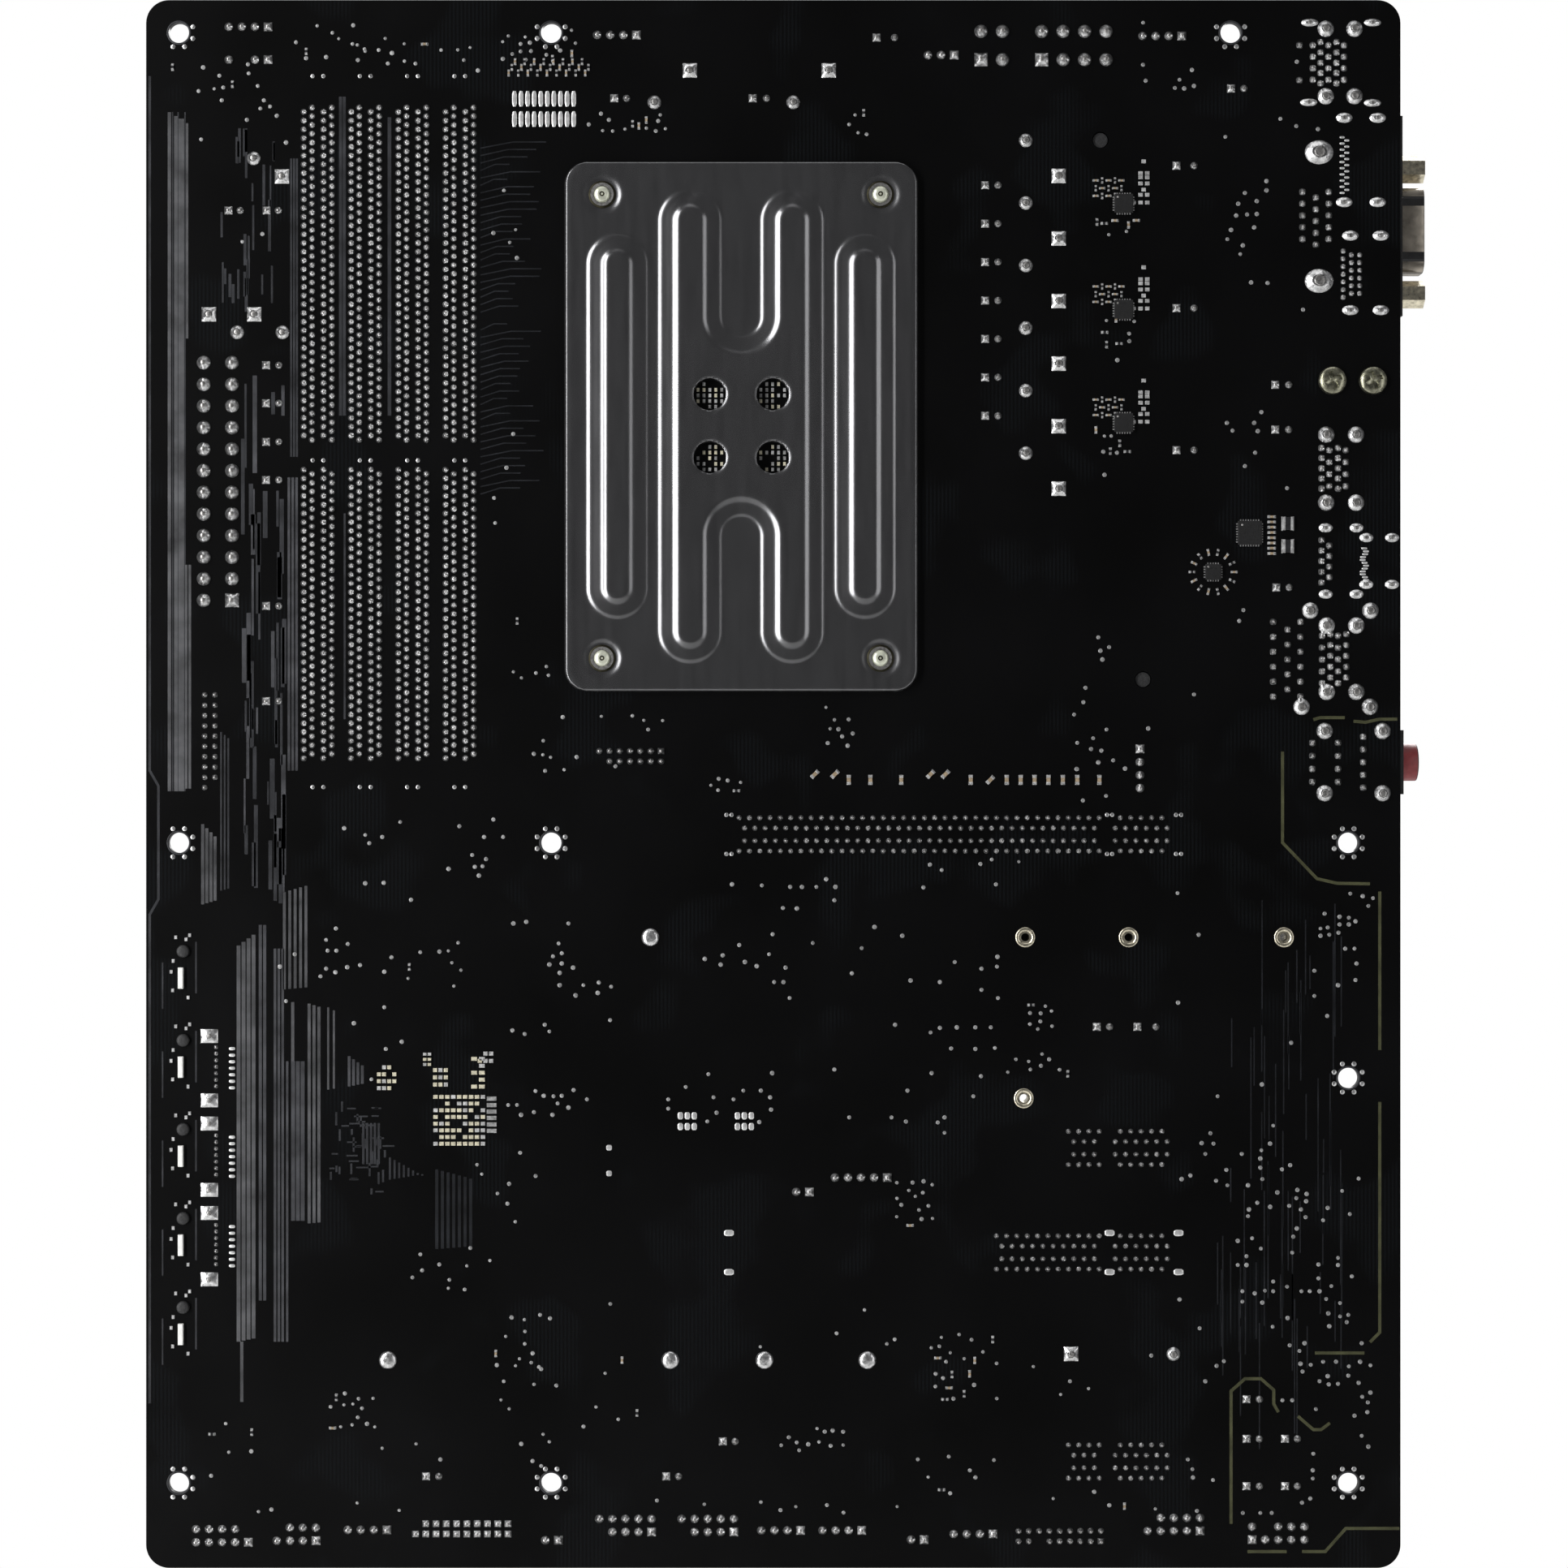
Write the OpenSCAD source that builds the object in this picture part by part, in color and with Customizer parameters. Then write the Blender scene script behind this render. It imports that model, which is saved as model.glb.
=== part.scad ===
// ATX motherboard, standing as it does in a tower case: the solder side faces -Y, the component
// side faces +Y, the rear ports face +X and the memory slots stand near the -X edge.
// Places on the board are given in board coordinates: bx from its left edge and bz from its
// bottom edge, both as seen from the solder side. The origin of the part is the centre of the
// lower rectangle of mounting holes, on the solder-side face.

/* [Board] */
// Width of the board
board_w = 243.84; // [243.84:0.5:246]
// Height of the board
board_h = 304.8; // [304.8:0.5:306]
// Thickness of the board
board_t = 1.6; // [1.4:0.1:2]
// Radius of the board's corners
corner_r = 4.5; // [0.5:0.5:5]
// Diameter of the mounting holes
hole_d = 3.96; // [3.9:0.02:4.1]

/* [Processor and cooler fixing] */
// Centre of the processor, from the left edge
cpu_bx = 115.7; // [115:0.1:117]
// Centre of the processor, from the bottom edge
cpu_bz = 221.8; // [221:0.1:223]
// Distance between the cooler posts along the board's width
post_dx = 54; // [53:0.5:55]
// Distance between the cooler posts along the board's height
post_dz = 90; // [89:0.5:91]
// Width of the backplate
plate_w = 68.7; // [66:0.1:70]
// Height of the backplate
plate_h = 103; // [101:0.5:105]
// Thickness of the backplate's steel
plate_t = 1.2; // [0.8:0.1:1.5]
// Height of the raised shapes pressed in the backplate
ridge_h = 1.3; // [0.8:0.1:1.5]
// Travel of the socket's cover when the lever turns
cover_travel = 1.2; // [0.8:0.1:1.5]

/* [Memory slots] */
// Centre of the first memory slot, from the left edge
dimm_bx = 33.39; // [33:0.1:34]
// Distance between memory slots
dimm_pitch = 9.19; // [9:0.01:9.5]
// Lower end of the memory slots, from the bottom edge
dimm_bz = 149.6; // [149:0.1:150]
// Length of a memory slot
dimm_len = 142.1; // [141:0.1:143]

/* [Expansion slots] */
// Height of the first expansion slot above the bottom edge
slot_bz = 142.6; // [142:0.1:143]
// Distance between two expansion places
slot_pitch = 20.32; // [20.32:0.01:20.34]
// Height of a slot's housing
slot_h = 11.2; // [11:0.1:11.5]

/* [Heatsinks] */
// Height of the voltage regulator's heatsink
vrm_sink_h = 24; // [18:1:30]
// Height of the chipset's heatsink
chipset_sink_h = 8; // [6:0.5:10]
// Thickness of the M.2 heatsinks
m2_sink_t = 4; // [3:0.5:6]

/* [Hidden] */
$fn = 48;
datum_x = 120.015;      // centre of the lower hole rectangle, in board coordinates
datum_z = 78.74;
front = board_t;        // the component side
insulator_t = 0.3;
plate_back = -insulator_t - plate_t;
post_r = 2.25;
hole_r = hole_d / 2;
pin_w = 0.64;           // square header pins
header_base_h = 2.54;
header_pin_h = 8.5;
power_pitch = 4.2;      // 24-pin and 12-volt power connectors
power_h = 13;
power_cell = 3.6;

// Mounting holes: the four of the lower rectangle first
HOLES = [
    [6.35, 16.51], [233.68, 16.51], [233.68, 140.97], [6.35, 140.97],
    [78.74, 16.51], [78.74, 140.97],
    [6.35, 298.45], [78.74, 298.45], [210.82, 298.45], [233.68, 95.25]
];
SINK_SCREWS = [[185.5, 277.6], [193.8, 172.7]];
BRACKET_SCREWS = [[230.6, 230.8], [238.5, 230.8]];

// M.2: the sockets' card edges, the card standoffs and the taller ones of the heatsinks
M2_UPPER = [110.9, 122.6];
M2_LOWER = [60.1, 40.4];
WIFI = [140.9, 91.3];
CARD_STANDOFFS = [[170.9, 122.6], [191, 122.6], [101.9, 40.4], [120.2, 40.4], [170.6, 91.3]];
SINK_STANDOFFS = [[98, 122.6], [221.2, 122.6], [47, 40.4], [140.2, 40.4]];
standoff_h = 2.5;
sink_standoff_h = 5;

// Pin headers: first pin's place, columns, rows, pitch, and the column and row left without a pin
HEADERS = [
    [9.7, 5, 5, 2, 2.54, 4, 1], [25.4, 5.3, 4, 2, 2.54, 0, 1], [77.6, 5.4, 2, 1, 2.54, -1, -1],
    [88.1, 7, 5, 2, 2.54, 0, 0], [104.1, 7, 5, 2, 2.54, 0, 0], [148.7, 5.5, 2, 1, 2.54, -1, -1],
    [157, 6.6, 4, 1, 2.54, -1, -1], [169.6, 5.2, 9, 2, 2, 2, 0], [194.7, 7.2, 5, 2, 2.54, 0, 1],
    [215, 5.5, 5, 2, 2.54, 1, 1], [16.1, 293.2, 4, 1, 2.54, 1, 0], [88.1, 156.8, 7, 2, 2, 0, 0],
    [133.9, 75.9, 5, 1, 2.54, -1, -1], [126.4, 73.1, 2, 1, 2.54, -1, -1], [152, 294.1, 3, 1, 2.54, -1, -1]
];
// Fan headers: first pin's place, and whether the row runs up the board
FANS = [
    [87.7, 298, 0], [193.7, 297.8, 0], [16.1, 299.6, 0], [39.2, 7.4, 0],
    [119.6, 7.3, 0], [131.5, 7.3, 0], [193.2, 151.6, 1]
];

// Polymer capacitors: centre and radius
CAPS = concat(
    [for (k = [0:6]) [164.35, 268.8 - 7.47 * k, 3.15]],
    [for (z = [233.8, 226.4, 218.9, 211.5, 187, 168.5]) [24.55, z, 3.15]],
    [for (z = [272.6, 244.9, 217.3]) [202, z, 4]],
    [for (z = [32.8, 25.1, 15.9]) [215.15, z, 3.15]],
    [for (z = [25.1, 15.9]) [222.6, z, 3.15]],
    [[17.15, 263.9, 3.15], [24.55, 263.9, 3.15], [92.2, 285.7, 3.15], [119.25, 285.7, 3.15]],
    [[143.75, 297.5, 4], [212.15, 287.6, 3.15], [220.8, 230, 3.15], [220.8, 221.3, 3.15]],
    [[220.95, 190.6, 3.15], [113.3, 24.6, 3.15], [102.3, 17.8, 3.15], [55.65, 17.8, 3.15]]
);

// Chokes: centre and size along the board's width and height
CHOKES = concat(
    [for (k = [0:5]) [174.2, 274.05 - 12.16 * k, 10.4, 10.4]],
    [[102.25, 288, 10.4, 9.4], [129.25, 288, 10.4, 9.4], [23.65, 272.3, 8, 8]],
    [[14.95, 242, 7.6, 7], [23.75, 242, 7.6, 7]]
);

// Slots: place number, and how far the housing reaches to the left
SLOTS = [[0, 112.4], [3, 176.4], [4, 112.4], [6, 176.4]];
slot_right = 201.6;
slot_key = 187.2;
slot_w = 7.5;
shell_reach = 0.2;          // how far the plated port shells stand past the board's edge
latch_pin = [108.6, 3.2];   // pivot of a slot's latch: bx, and height above the board

dimm_w = 6.4;
dimm_mid = dimm_bz + dimm_len / 2;
dimm_top = dimm_bz + dimm_len;
dimm_key = 216.4;
dimm_pin_bz = dimm_top - 2.4;   // pivot of a memory latch
dimm_pin_h = 3;

socket_half = 20.5;
cam_bz = cpu_bz + socket_half + cover_travel + 4.3;   // axis of the socket's lever
cam_h = 3.2;

// ---------- helpers in board coordinates ----------

// Moves to a place on the board, at a height y
module at(bx, bz, y = 0) {
    translate([bx - datum_x, y, bz - datum_z]) children();
}

// A flat shape drawn in board coordinates, made solid from y0 to y1
module plate(y0, y1) {
    translate([-datum_x, y1, -datum_z])
        rotate([90, 0, 0]) linear_extrude(y1 - y0) children();
}

// A rectangle about its centre, with round corners where r is given
module rect(bx, bz, w, h, r = 0) {
    translate([bx, bz]) {
        square([w, h - 2 * r], center = true);
        if (r > 0) {
            square([w - 2 * r, h], center = true);
            for (sx = [-1, 1], sz = [-1, 1]) translate([sx * (w / 2 - r), sz * (h / 2 - r)]) circle(r);
        }
    }
}

module disc(bx, bz, r) {
    translate([bx, bz]) circle(r);
}

// A round bar that stands on the board
module rod(bx, bz, r, y0, y1) {
    at(bx, bz, y0) rotate([-90, 0, 0]) cylinder(h = y1 - y0, r = r);
}

// A box from one corner to the other: bx, y and bz ranges
module box(xr, yr, zr) {
    at(xr[0], zr[0], yr[0]) cube([xr[1] - xr[0], yr[1] - yr[0], zr[1] - zr[0]]);
}

// A screw whose head rests at y and whose shank runs down to y_tip; head_up is false where the
// head is on the solder side
module screw(bx, bz, y, y_tip, head_r, head_h, shank_r, head_up = true) {
    top = head_up ? y + head_h : y - head_h;
    difference() {
        union() {
            rod(bx, bz, head_r, min(y, top), max(y, top));
            rod(bx, bz, shank_r, min(y, y_tip), max(y, y_tip));
        }
        // cross recess
        plate(top - 0.9, top + 0.9) {
            rect(bx, bz, head_r * 1.2, head_r * 0.3);
            rect(bx, bz, head_r * 0.3, head_r * 1.2);
        }
    }
}

// ---------- board and solder side ----------

module pcb() color([0.06, 0.06, 0.065]) plate(0, board_t) difference() {
    rect(board_w / 2, board_h / 2, board_w, board_h, corner_r);
    for (h = HOLES) disc(h[0], h[1], hole_r);
    for (sx = [-1, 1], sz = [-1, 1])
        disc(cpu_bx + sx * post_dx / 2, cpu_bz + sz * post_dz / 2, post_r + 0.05);
    for (h = concat(SINK_SCREWS, BRACKET_SCREWS)) disc(h[0], h[1], 1.6);
    for (h = concat(CARD_STANDOFFS, SINK_STANDOFFS)) disc(h[0], h[1], 1.3);
}

// The windows of the backplate and of its insulator
module window_holes() {
    for (sx = [-1, 1], sz = [-1, 1]) {
        disc(cpu_bx + sx * 6.1, cpu_bz + sz * 6.1, 3.1);
        disc(cpu_bx + sx * post_dx / 2, cpu_bz + sz * post_dz / 2, post_r);
    }
}

step_w = 1.8;       // each raised shape has two steps, this far apart

// A raised band along the height with round ends, about x and from -z to z about the plate's centre
module band(x, z, r) {
    rect(cpu_bx + x, cpu_bz, 2 * r, 2 * z);
    for (s = [-1, 1]) disc(cpu_bx + x, cpu_bz + s * z, r);
}

// The raised shapes seen from the solder side: two long bands, and an H between them
module raised(grow) difference() {
    union() {
        for (s = [-1, 1]) {
            band(24 * s, 31.4, 4.2 + grow);
            band(9.9 * s, 39.8, 4.4 + grow);
        }
        rect(cpu_bx, cpu_bz, 24, 42.6);
    }
    for (s = [-1, 1]) {
        disc(cpu_bx, cpu_bz + 21.3 * s, 5.5 - grow);
        rect(cpu_bx, cpu_bz + 36.3 * s, 11 - 2 * grow, 30);
    }
}

module cpu_backplate() color([0.2, 0.2, 0.21]) difference() {
    union() {
        plate(plate_back, -insulator_t) rect(cpu_bx, cpu_bz, plate_w, plate_h, 4.5);
        plate(plate_back - ridge_h / 2, plate_back + 0.3) raised(step_w / 2);
        plate(plate_back - ridge_h, plate_back + 0.3) raised(-step_w / 2);
    }
    plate(plate_back - ridge_h - 1, 0) window_holes();
    for (sx = [-1, 1], sz = [-1, 1])
        rod(cpu_bx + sx * post_dx / 2, cpu_bz + sz * post_dz / 2, 4.2, plate_back - 2, plate_back + 0.3);
}

module backplate_insulator() color([0.08, 0.08, 0.08]) plate(-insulator_t, 0) difference() {
    rect(cpu_bx, cpu_bz, plate_w - 1, plate_h - 1, 4);
    window_holes();
}

module backplate_posts() color([0.62, 0.6, 0.55])
    for (sx = [-1, 1], sz = [-1, 1]) difference() {
        rod(cpu_bx + sx * post_dx / 2, cpu_bz + sz * post_dz / 2, post_r, plate_back, front + 3.4);
        rod(cpu_bx + sx * post_dx / 2, cpu_bz + sz * post_dz / 2, 1.65, plate_back - 1, front + 5);
    }

function header_pin_places(h) = [
    for (i = [0:h[2] - 1], j = [0:h[3] - 1])
        if (i != h[5] || j != h[6]) [h[0] + i * h[4], h[1] + j * h[4]]
];
function fan_pin_places(f) = [
    for (i = [0:3]) [f[0] + (1 - f[2]) * i * 2.54, f[1] + f[2] * i * 2.54]
];
ATX_PINS = [for (i = [0:1], k = [0:11]) [11.2 + 5.5 * i, 188.1 + power_pitch * k]];
EPS_PINS = concat(
    [for (i = [0:3], j = [0:1]) [174.1 + 4.17 * i, 293.2 + 5.5 * j]],
    [for (i = [0:1], j = [0:1]) [162.3 + 4.17 * i, 293.2 + 5.5 * j]]
);
// USB 3 headers: place of the first pin, step along the row, step to the second row
USB3 = [[52.35, 6.6, [2, 0], [0, 2]], [11.4, 151.7, [0, 2], [2, 0]]];
function usb3_pin_places(u) = [
    for (k = [0:9], j = [0:1]) if (k != 0 || j != 1)
        [u[0] + u[2][0] * k + u[3][0] * j, u[1] + u[2][1] * k + u[3][1] * j]
];
// Shell tabs of the rear ports, with their radii
IO_TABS = concat(
    [for (x = [229.3, 234.9], z = [286.1, 299.2]) [x, z, 1.65]],
    [for (x = [232.9, 239.4], z = [265.5, 281.9]) [x, z, 1.2]],
    [for (x = [234.1, 240], z = [244.5, 259]) [x, z, 1.2]],
    [for (x = [229.4, 235.2], z = [207.1, 220.3]) [x, z, 1.65]],
    [for (x = [229.3, 235.3], z = [189.3, 202.2]) [x, z, 1.3]],
    [for (x = [229.5, 235.2], z = [170.3, 183.2]) [x, z, 1.5]],
    [for (x = [229.1, 240.3], z = [150.6, 162.7]) [x, z, 1.5]],
    [[228, 275.2, 2.5], [228, 250.2, 2.5]]
);
IO_PINS = concat(
    [for (x = [226.8, 229.8, 232.9], k = [0:3]) [x, 296 - 2.24 * k]],
    [for (x = [224.8, 229.9], k = [0:4]) [x, 267.5 - 2.29 * k]],
    [for (k = [0:4]) [227.4, 266.4 - 2.29 * k]],
    [for (x = [228.5, 231.7], k = [0:4]) [x, 217.7 - 1.98 * k]],
    [for (x = [219.1, 221.9], k = [0:4]) [x, 183.4 - 2.9 * k]],
    [for (x = [228.6, 231.7], k = [0:4]) [x, 181 - 2.2 * k]],
    [for (x = [226.7, 231.7], k = [0:3]) [x, 160.4 - 2.53 * k]]
);

// The solder of the through-hole pieces, one joint each
module solder_joints() color([0.75, 0.75, 0.76]) {
    for (p = concat(ATX_PINS, EPS_PINS)) rod(p[0], p[1], 1.35, -0.9, 0);
    for (h = HEADERS, p = header_pin_places(h)) rod(p[0], p[1], 0.75, -1, 0);
    for (f = FANS, p = fan_pin_places(f)) rod(p[0], p[1], 0.75, -1, 0);
    for (u = USB3, p = usb3_pin_places(u)) rod(p[0], p[1], 0.6, -0.9, 0);
    for (c = CAPS, s = [-1, 1]) rod(c[0] + s * c[2] * 0.4, c[1], 0.8, -0.9, 0);
    for (t = IO_TABS) rod(t[0], t[1], t[2], -0.9, 0);
    for (p = IO_PINS) rod(p[0], p[1], 0.6, -0.9, 0);
}

// Small parts on the solder side, in the rows that matter for its height
module back_passives() color([0.5, 0.46, 0.4]) {
    for (k = [0:15]) box([130 + 3.6 * k, 130.6 + 3.6 * k], [-0.5, 0], [152.6, 154.2]);
    for (k = [0:2], j = [0:4]) box([193, 194.2], [-0.5, 0], [271.2, 272] - [1, 1] * (21.8 * k + 2.8 * j));
    for (k = [0:5], j = [0:4]) box([52 + 3 * k, 52.6 + 3 * k], [-0.5, 0], [84 + 3.4 * j, 85.2 + 3.4 * j]);
    for (sx = [-1, 1], sz = [-1, 1])
        box([cpu_bx + sx * 6.1 - 0.5, cpu_bx + sx * 6.1 + 0.5], [-0.5, 0],
            [cpu_bz + sz * 6.1 - 0.25, cpu_bz + sz * 6.1 + 0.25]);
}

// Centre and size of each controller on the solder side
BACK_CHIPS = [[190, 265.2, 3.6], [190, 244.6, 3.6], [190, 222.6, 3.6], [214.5, 201.2, 4.6],
    [207.4, 193.6, 3]];
module back_chips() color([0.09, 0.09, 0.1])
    for (c = BACK_CHIPS) plate(-0.85, 0) rect(c[0], c[1], c[2], c[2]);

// The lamps that shine past the board's edge
module edge_leds() color([0.95, 0.95, 0.93])
    for (k = [0:4]) box([6.2, 7.4], [-0.9, 0], [112.7 - 17.3 * k, 116.7 - 17.3 * k]);

// ---------- processor socket and cooler brackets ----------

module cpu_socket() color([0.86, 0.85, 0.8]) difference() {
    union() {
        plate(front, front + 3) rect(cpu_bx, cpu_bz, 2 * socket_half, 2 * socket_half, 1);
        plate(front, front + 6.2) rect(cpu_bx, cam_bz, 2 * socket_half, 8);
        plate(front, front + 3) rect(cpu_bx, cpu_bz + 21.5, 2 * socket_half, 3);
        // hook that holds the lever down
        box([cpu_bx - socket_half - 3.2, cpu_bx - socket_half], [front, front + 1.6],
            [cpu_bz - 14, cpu_bz - 10]);
    }
    // bearing of the lever's shaft
    at(cpu_bx - socket_half - 1, cam_bz, front + cam_h) rotate([0, 90, 0])
        cylinder(h = 2 * socket_half - 4, r = 1.3);
}

module socket_cover() color([0.9, 0.89, 0.84]) difference() {
    plate(front + 3.2, front + 5.4) rect(cpu_bx, cpu_bz, 2 * socket_half - 1, 2 * socket_half - 1.6, 1);
    plate(front + 5, front + 6) rect(cpu_bx, cpu_bz, 7, 7);
}

// Shaft in the cam box, arm along the side and a bent handle
module socket_lever() color([0.78, 0.78, 0.8]) {
    arm_bx = cpu_bx - socket_half - 1.7;
    arm_end = cpu_bz - 22;
    y = front + cam_h;
    at(arm_bx, cam_bz, y) rotate([0, 90, 0]) cylinder(h = 2 * socket_half - 4, r = 1.2);
    at(arm_bx, cam_bz, y) sphere(1.2);
    at(arm_bx, arm_end, y) cylinder(h = cam_bz - arm_end, r = 1.2);
    at(arm_bx, arm_end, y) sphere(1.2);
    at(arm_bx - 5, arm_end, y) rotate([0, 90, 0]) cylinder(h = 5, r = 1.2);
    at(arm_bx - 5, arm_end, y) sphere(1.2);
}

// Clip rail for the cooler; s is 1 for the upper one and -1 for the lower one
module cooler_bracket(s) {
    z = cpu_bz + s * post_dz / 2;
    difference() {
        union() {
            plate(front, front + 5) rect(cpu_bx, z, post_dx + 12, 11, 5.4);
            plate(front, front + 13) rect(cpu_bx, z + s * 1.5, 19, 7, 1);
            plate(front + 10, front + 13) rect(cpu_bx, z + s * 6, 8, 4);
        }
        for (sx = [-1, 1]) {
            rod(cpu_bx + sx * post_dx / 2, z, 2.4, front - 1, front + 3.5);
            rod(cpu_bx + sx * post_dx / 2, z, 1.75, front - 1, front + 6);
        }
        plate(front + 5.8, front + 9.6) rect(cpu_bx, z + s * 1.5, 12, 9);
    }
}
module cooler_bracket_upper() color([0.07, 0.07, 0.07]) cooler_bracket(1);
module cooler_bracket_lower() color([0.07, 0.07, 0.07]) cooler_bracket(-1);

module cooler_screws() color([0.72, 0.7, 0.62])
    for (sx = [-1, 1], sz = [-1, 1])
        screw(cpu_bx + sx * post_dx / 2, cpu_bz + sz * post_dz / 2, front + 5, plate_back + 0.1,
              3.6, 2.2, 1.6);

// ---------- memory slots ----------

module dimm_slot(i) {
    bx = dimm_bx + i * dimm_pitch;
    difference() {
        union() {
            plate(front, front + 7.4) rect(bx, dimm_mid, dimm_w, dimm_len);
            plate(front, front + 16.5) rect(bx, dimm_top - 4.2, dimm_w, 8.4);
            plate(front, front + 16.5) rect(bx, dimm_bz + 3.6, dimm_w, 7.2);
        }
        // channel of the module's edge, on each side of the key
        box([bx - 0.75, bx + 0.75], [front + 2.4, front + 20], [dimm_bz + 4, dimm_key - 0.8]);
        box([bx - 0.75, bx + 0.75], [front + 2.4, front + 20], [dimm_key + 0.8, dimm_top - 5]);
        // fork of the latch, and the holes of its pivot
        box([bx - 1.8, bx + 1.8], [front + 1, front + 20], [dimm_top - 6.3, dimm_top + 1]);
        at(bx - 2.7, dimm_pin_bz, front + dimm_pin_h) rotate([0, 90, 0]) cylinder(h = 5.4, r = 0.95);
    }
}

// Latch outline about its pivot: x points out of the slot's end, y away from the board
module dimm_latch(i) {
    bx = dimm_bx + i * dimm_pitch;
    outline = [
        [-3.4, -0.9], [0.8, -1.2], [1.9, 0], [1.9, 13.6], [4.8, 14.6], [4.8, 16.6],
        [-0.6, 16.6], [-1.8, 14.9], [-1.8, 13.9], [-0.4, 13.2], [-0.4, 1.4], [-3.4, 0.4]
    ];
    at(bx + 1.5, dimm_pin_bz, front + dimm_pin_h)
        rotate([0, -90, 0]) linear_extrude(3) polygon(outline);
    at(bx - 2.9, dimm_pin_bz + 0.4, front + dimm_pin_h + 14) cube([5.8, 2.6, 4.2]);
    at(bx - 2.6, dimm_pin_bz, front + dimm_pin_h) rotate([0, 90, 0]) cylinder(h = 5.2, r = 0.9);
}

module dimm_slot_1() color([0.08, 0.08, 0.08]) dimm_slot(0);
module dimm_slot_2() color([0.3, 0.3, 0.32]) dimm_slot(1);
module dimm_slot_3() color([0.08, 0.08, 0.08]) dimm_slot(2);
module dimm_slot_4() color([0.3, 0.3, 0.32]) dimm_slot(3);
module dimm_latch_1() color([0.1, 0.1, 0.1]) dimm_latch(0);
module dimm_latch_2() color([0.1, 0.1, 0.1]) dimm_latch(1);
module dimm_latch_3() color([0.1, 0.1, 0.1]) dimm_latch(2);
module dimm_latch_4() color([0.1, 0.1, 0.1]) dimm_latch(3);

// ---------- expansion slots ----------

module pcie_slot(k) {
    z = slot_bz - slot_pitch * SLOTS[k][0];
    left = SLOTS[k][1];
    long = left < 150;
    difference() {
        union() {
            box([left, slot_right], [front, front + slot_h], [z - slot_w / 2, z + slot_w / 2]);
            // fork that carries the latch
            if (long) box([left - 6.4, left], [front, front + 5.4], [z - slot_w / 2, z + slot_w / 2]);
        }
        box([left + 1.8, slot_key - 0.9], [front + 2.8, front + 20], [z - 0.9, z + 0.9]);
        box([slot_key + 0.9, slot_right - 1.8], [front + 2.8, front + 20], [z - 0.9, z + 0.9]);
        if (long) {
            box([left - 7, left - 0.4], [front + 0.9, front + 20], [z - 2.1, z + 2.1]);
            at(latch_pin[0], z - 3, front + latch_pin[1]) cylinder(h = 6, r = 0.95);
        }
    }
}

// Latch of a long slot, outline about its pivot: x points away from the slot's end
module pcie_latch(k) {
    z = slot_bz - slot_pitch * SLOTS[k][0];
    outline = [
        [-1.6, -1.2], [1.4, -1.6], [1.8, 3.6], [7.6, 4.4], [7.6, 6.2], [1.6, 6.2], [0.2, 12.6],
        [-3.2, 12.6], [-3.2, 10.6], [-1.6, 8.6]
    ];
    at(latch_pin[0], z + 1.8, front + latch_pin[1])
        mirror([1, 0, 0]) mirror([0, 0, 1]) linear_extrude(3.6) polygon(outline);
    at(latch_pin[0], z - 2.9, front + latch_pin[1]) cylinder(h = 5.8, r = 0.9);
}

module pcie_slot_1() color([0.1, 0.1, 0.1]) pcie_slot(0);
module pcie_slot_2() color([0.1, 0.1, 0.1]) pcie_slot(1);
module pcie_slot_3() color([0.1, 0.1, 0.1]) pcie_slot(2);
module pcie_slot_4() color([0.1, 0.1, 0.1]) pcie_slot(3);
module pcie_latch_1() color([0.12, 0.12, 0.12]) pcie_latch(0);
module pcie_latch_3() color([0.12, 0.12, 0.12]) pcie_latch(2);

// ---------- M.2 sockets, standoffs and heatsinks ----------

// Socket whose card edge is at p; the card lies towards +X
module m2_socket(p, key_dz) {
    difference() {
        box([p[0] - 8.4, p[0]], [front, front + 4.2], [p[1] - 11, p[1] + 11]);
        box([p[0] - 5, p[0] + 1], [front + 1.9, front + 3.1], [p[1] - 10, p[1] + key_dz - 0.6]);
        box([p[0] - 5, p[0] + 1], [front + 1.9, front + 3.1], [p[1] + key_dz + 0.6, p[1] + 10]);
    }
}
module m2_sockets() color([0.1, 0.1, 0.1]) {
    m2_socket(M2_UPPER, 6.1);
    m2_socket(M2_LOWER, 6.1);
}
module wifi_socket() color([0.1, 0.1, 0.1]) m2_socket(WIFI, -4.4);

module standoff(p, h) {
    difference() {
        union() {
            rod(p[0], p[1], 2.6, front, front + h);
            rod(p[0], p[1], 1.3, 0.05, front + 0.2);
        }
        rod(p[0], p[1], 0.8, -1, front + h + 1);
    }
}
module m2_standoffs() color([0.8, 0.72, 0.5]) {
    for (p = CARD_STANDOFFS) standoff(p, standoff_h);
    for (p = SINK_STANDOFFS) standoff(p, sink_standoff_h);
}

// Finned plate from bx0 to bx1 on the two standoffs at the height z
module m2_heatsink(bx0, bx1, z, screws) {
    y = front + sink_standoff_h;
    difference() {
        plate(y, y + m2_sink_t) rect((bx0 + bx1) / 2, z, bx1 - bx0, 21.4, 1.5);
        for (k = [-3:3]) box([bx0 + 10, bx1 - 10], [y + m2_sink_t - 1.4, y + 20],
            [z + 2.9 * k - 0.5, z + 2.9 * k + 0.5]);
        for (s = screws) {
            rod(s, z, 1.2, y - 1, y + 20);
            rod(s, z, 2.8, y + m2_sink_t - 1.6, y + 20);
        }
    }
}
module m2_heatsink_upper() color([0.16, 0.16, 0.17]) m2_heatsink(94, 226, 122.6, [98, 221.2]);
module m2_heatsink_lower() color([0.16, 0.16, 0.17]) m2_heatsink(43, 144, 40.4, [47, 140.2]);

module m2_heatsink_screws() color([0.6, 0.6, 0.62]) {
    y = front + sink_standoff_h + m2_sink_t - 1.6;
    for (p = SINK_STANDOFFS) screw(p[0], p[1], y, front + 0.5, 2.5, 1.2, 0.75);
}

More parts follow.
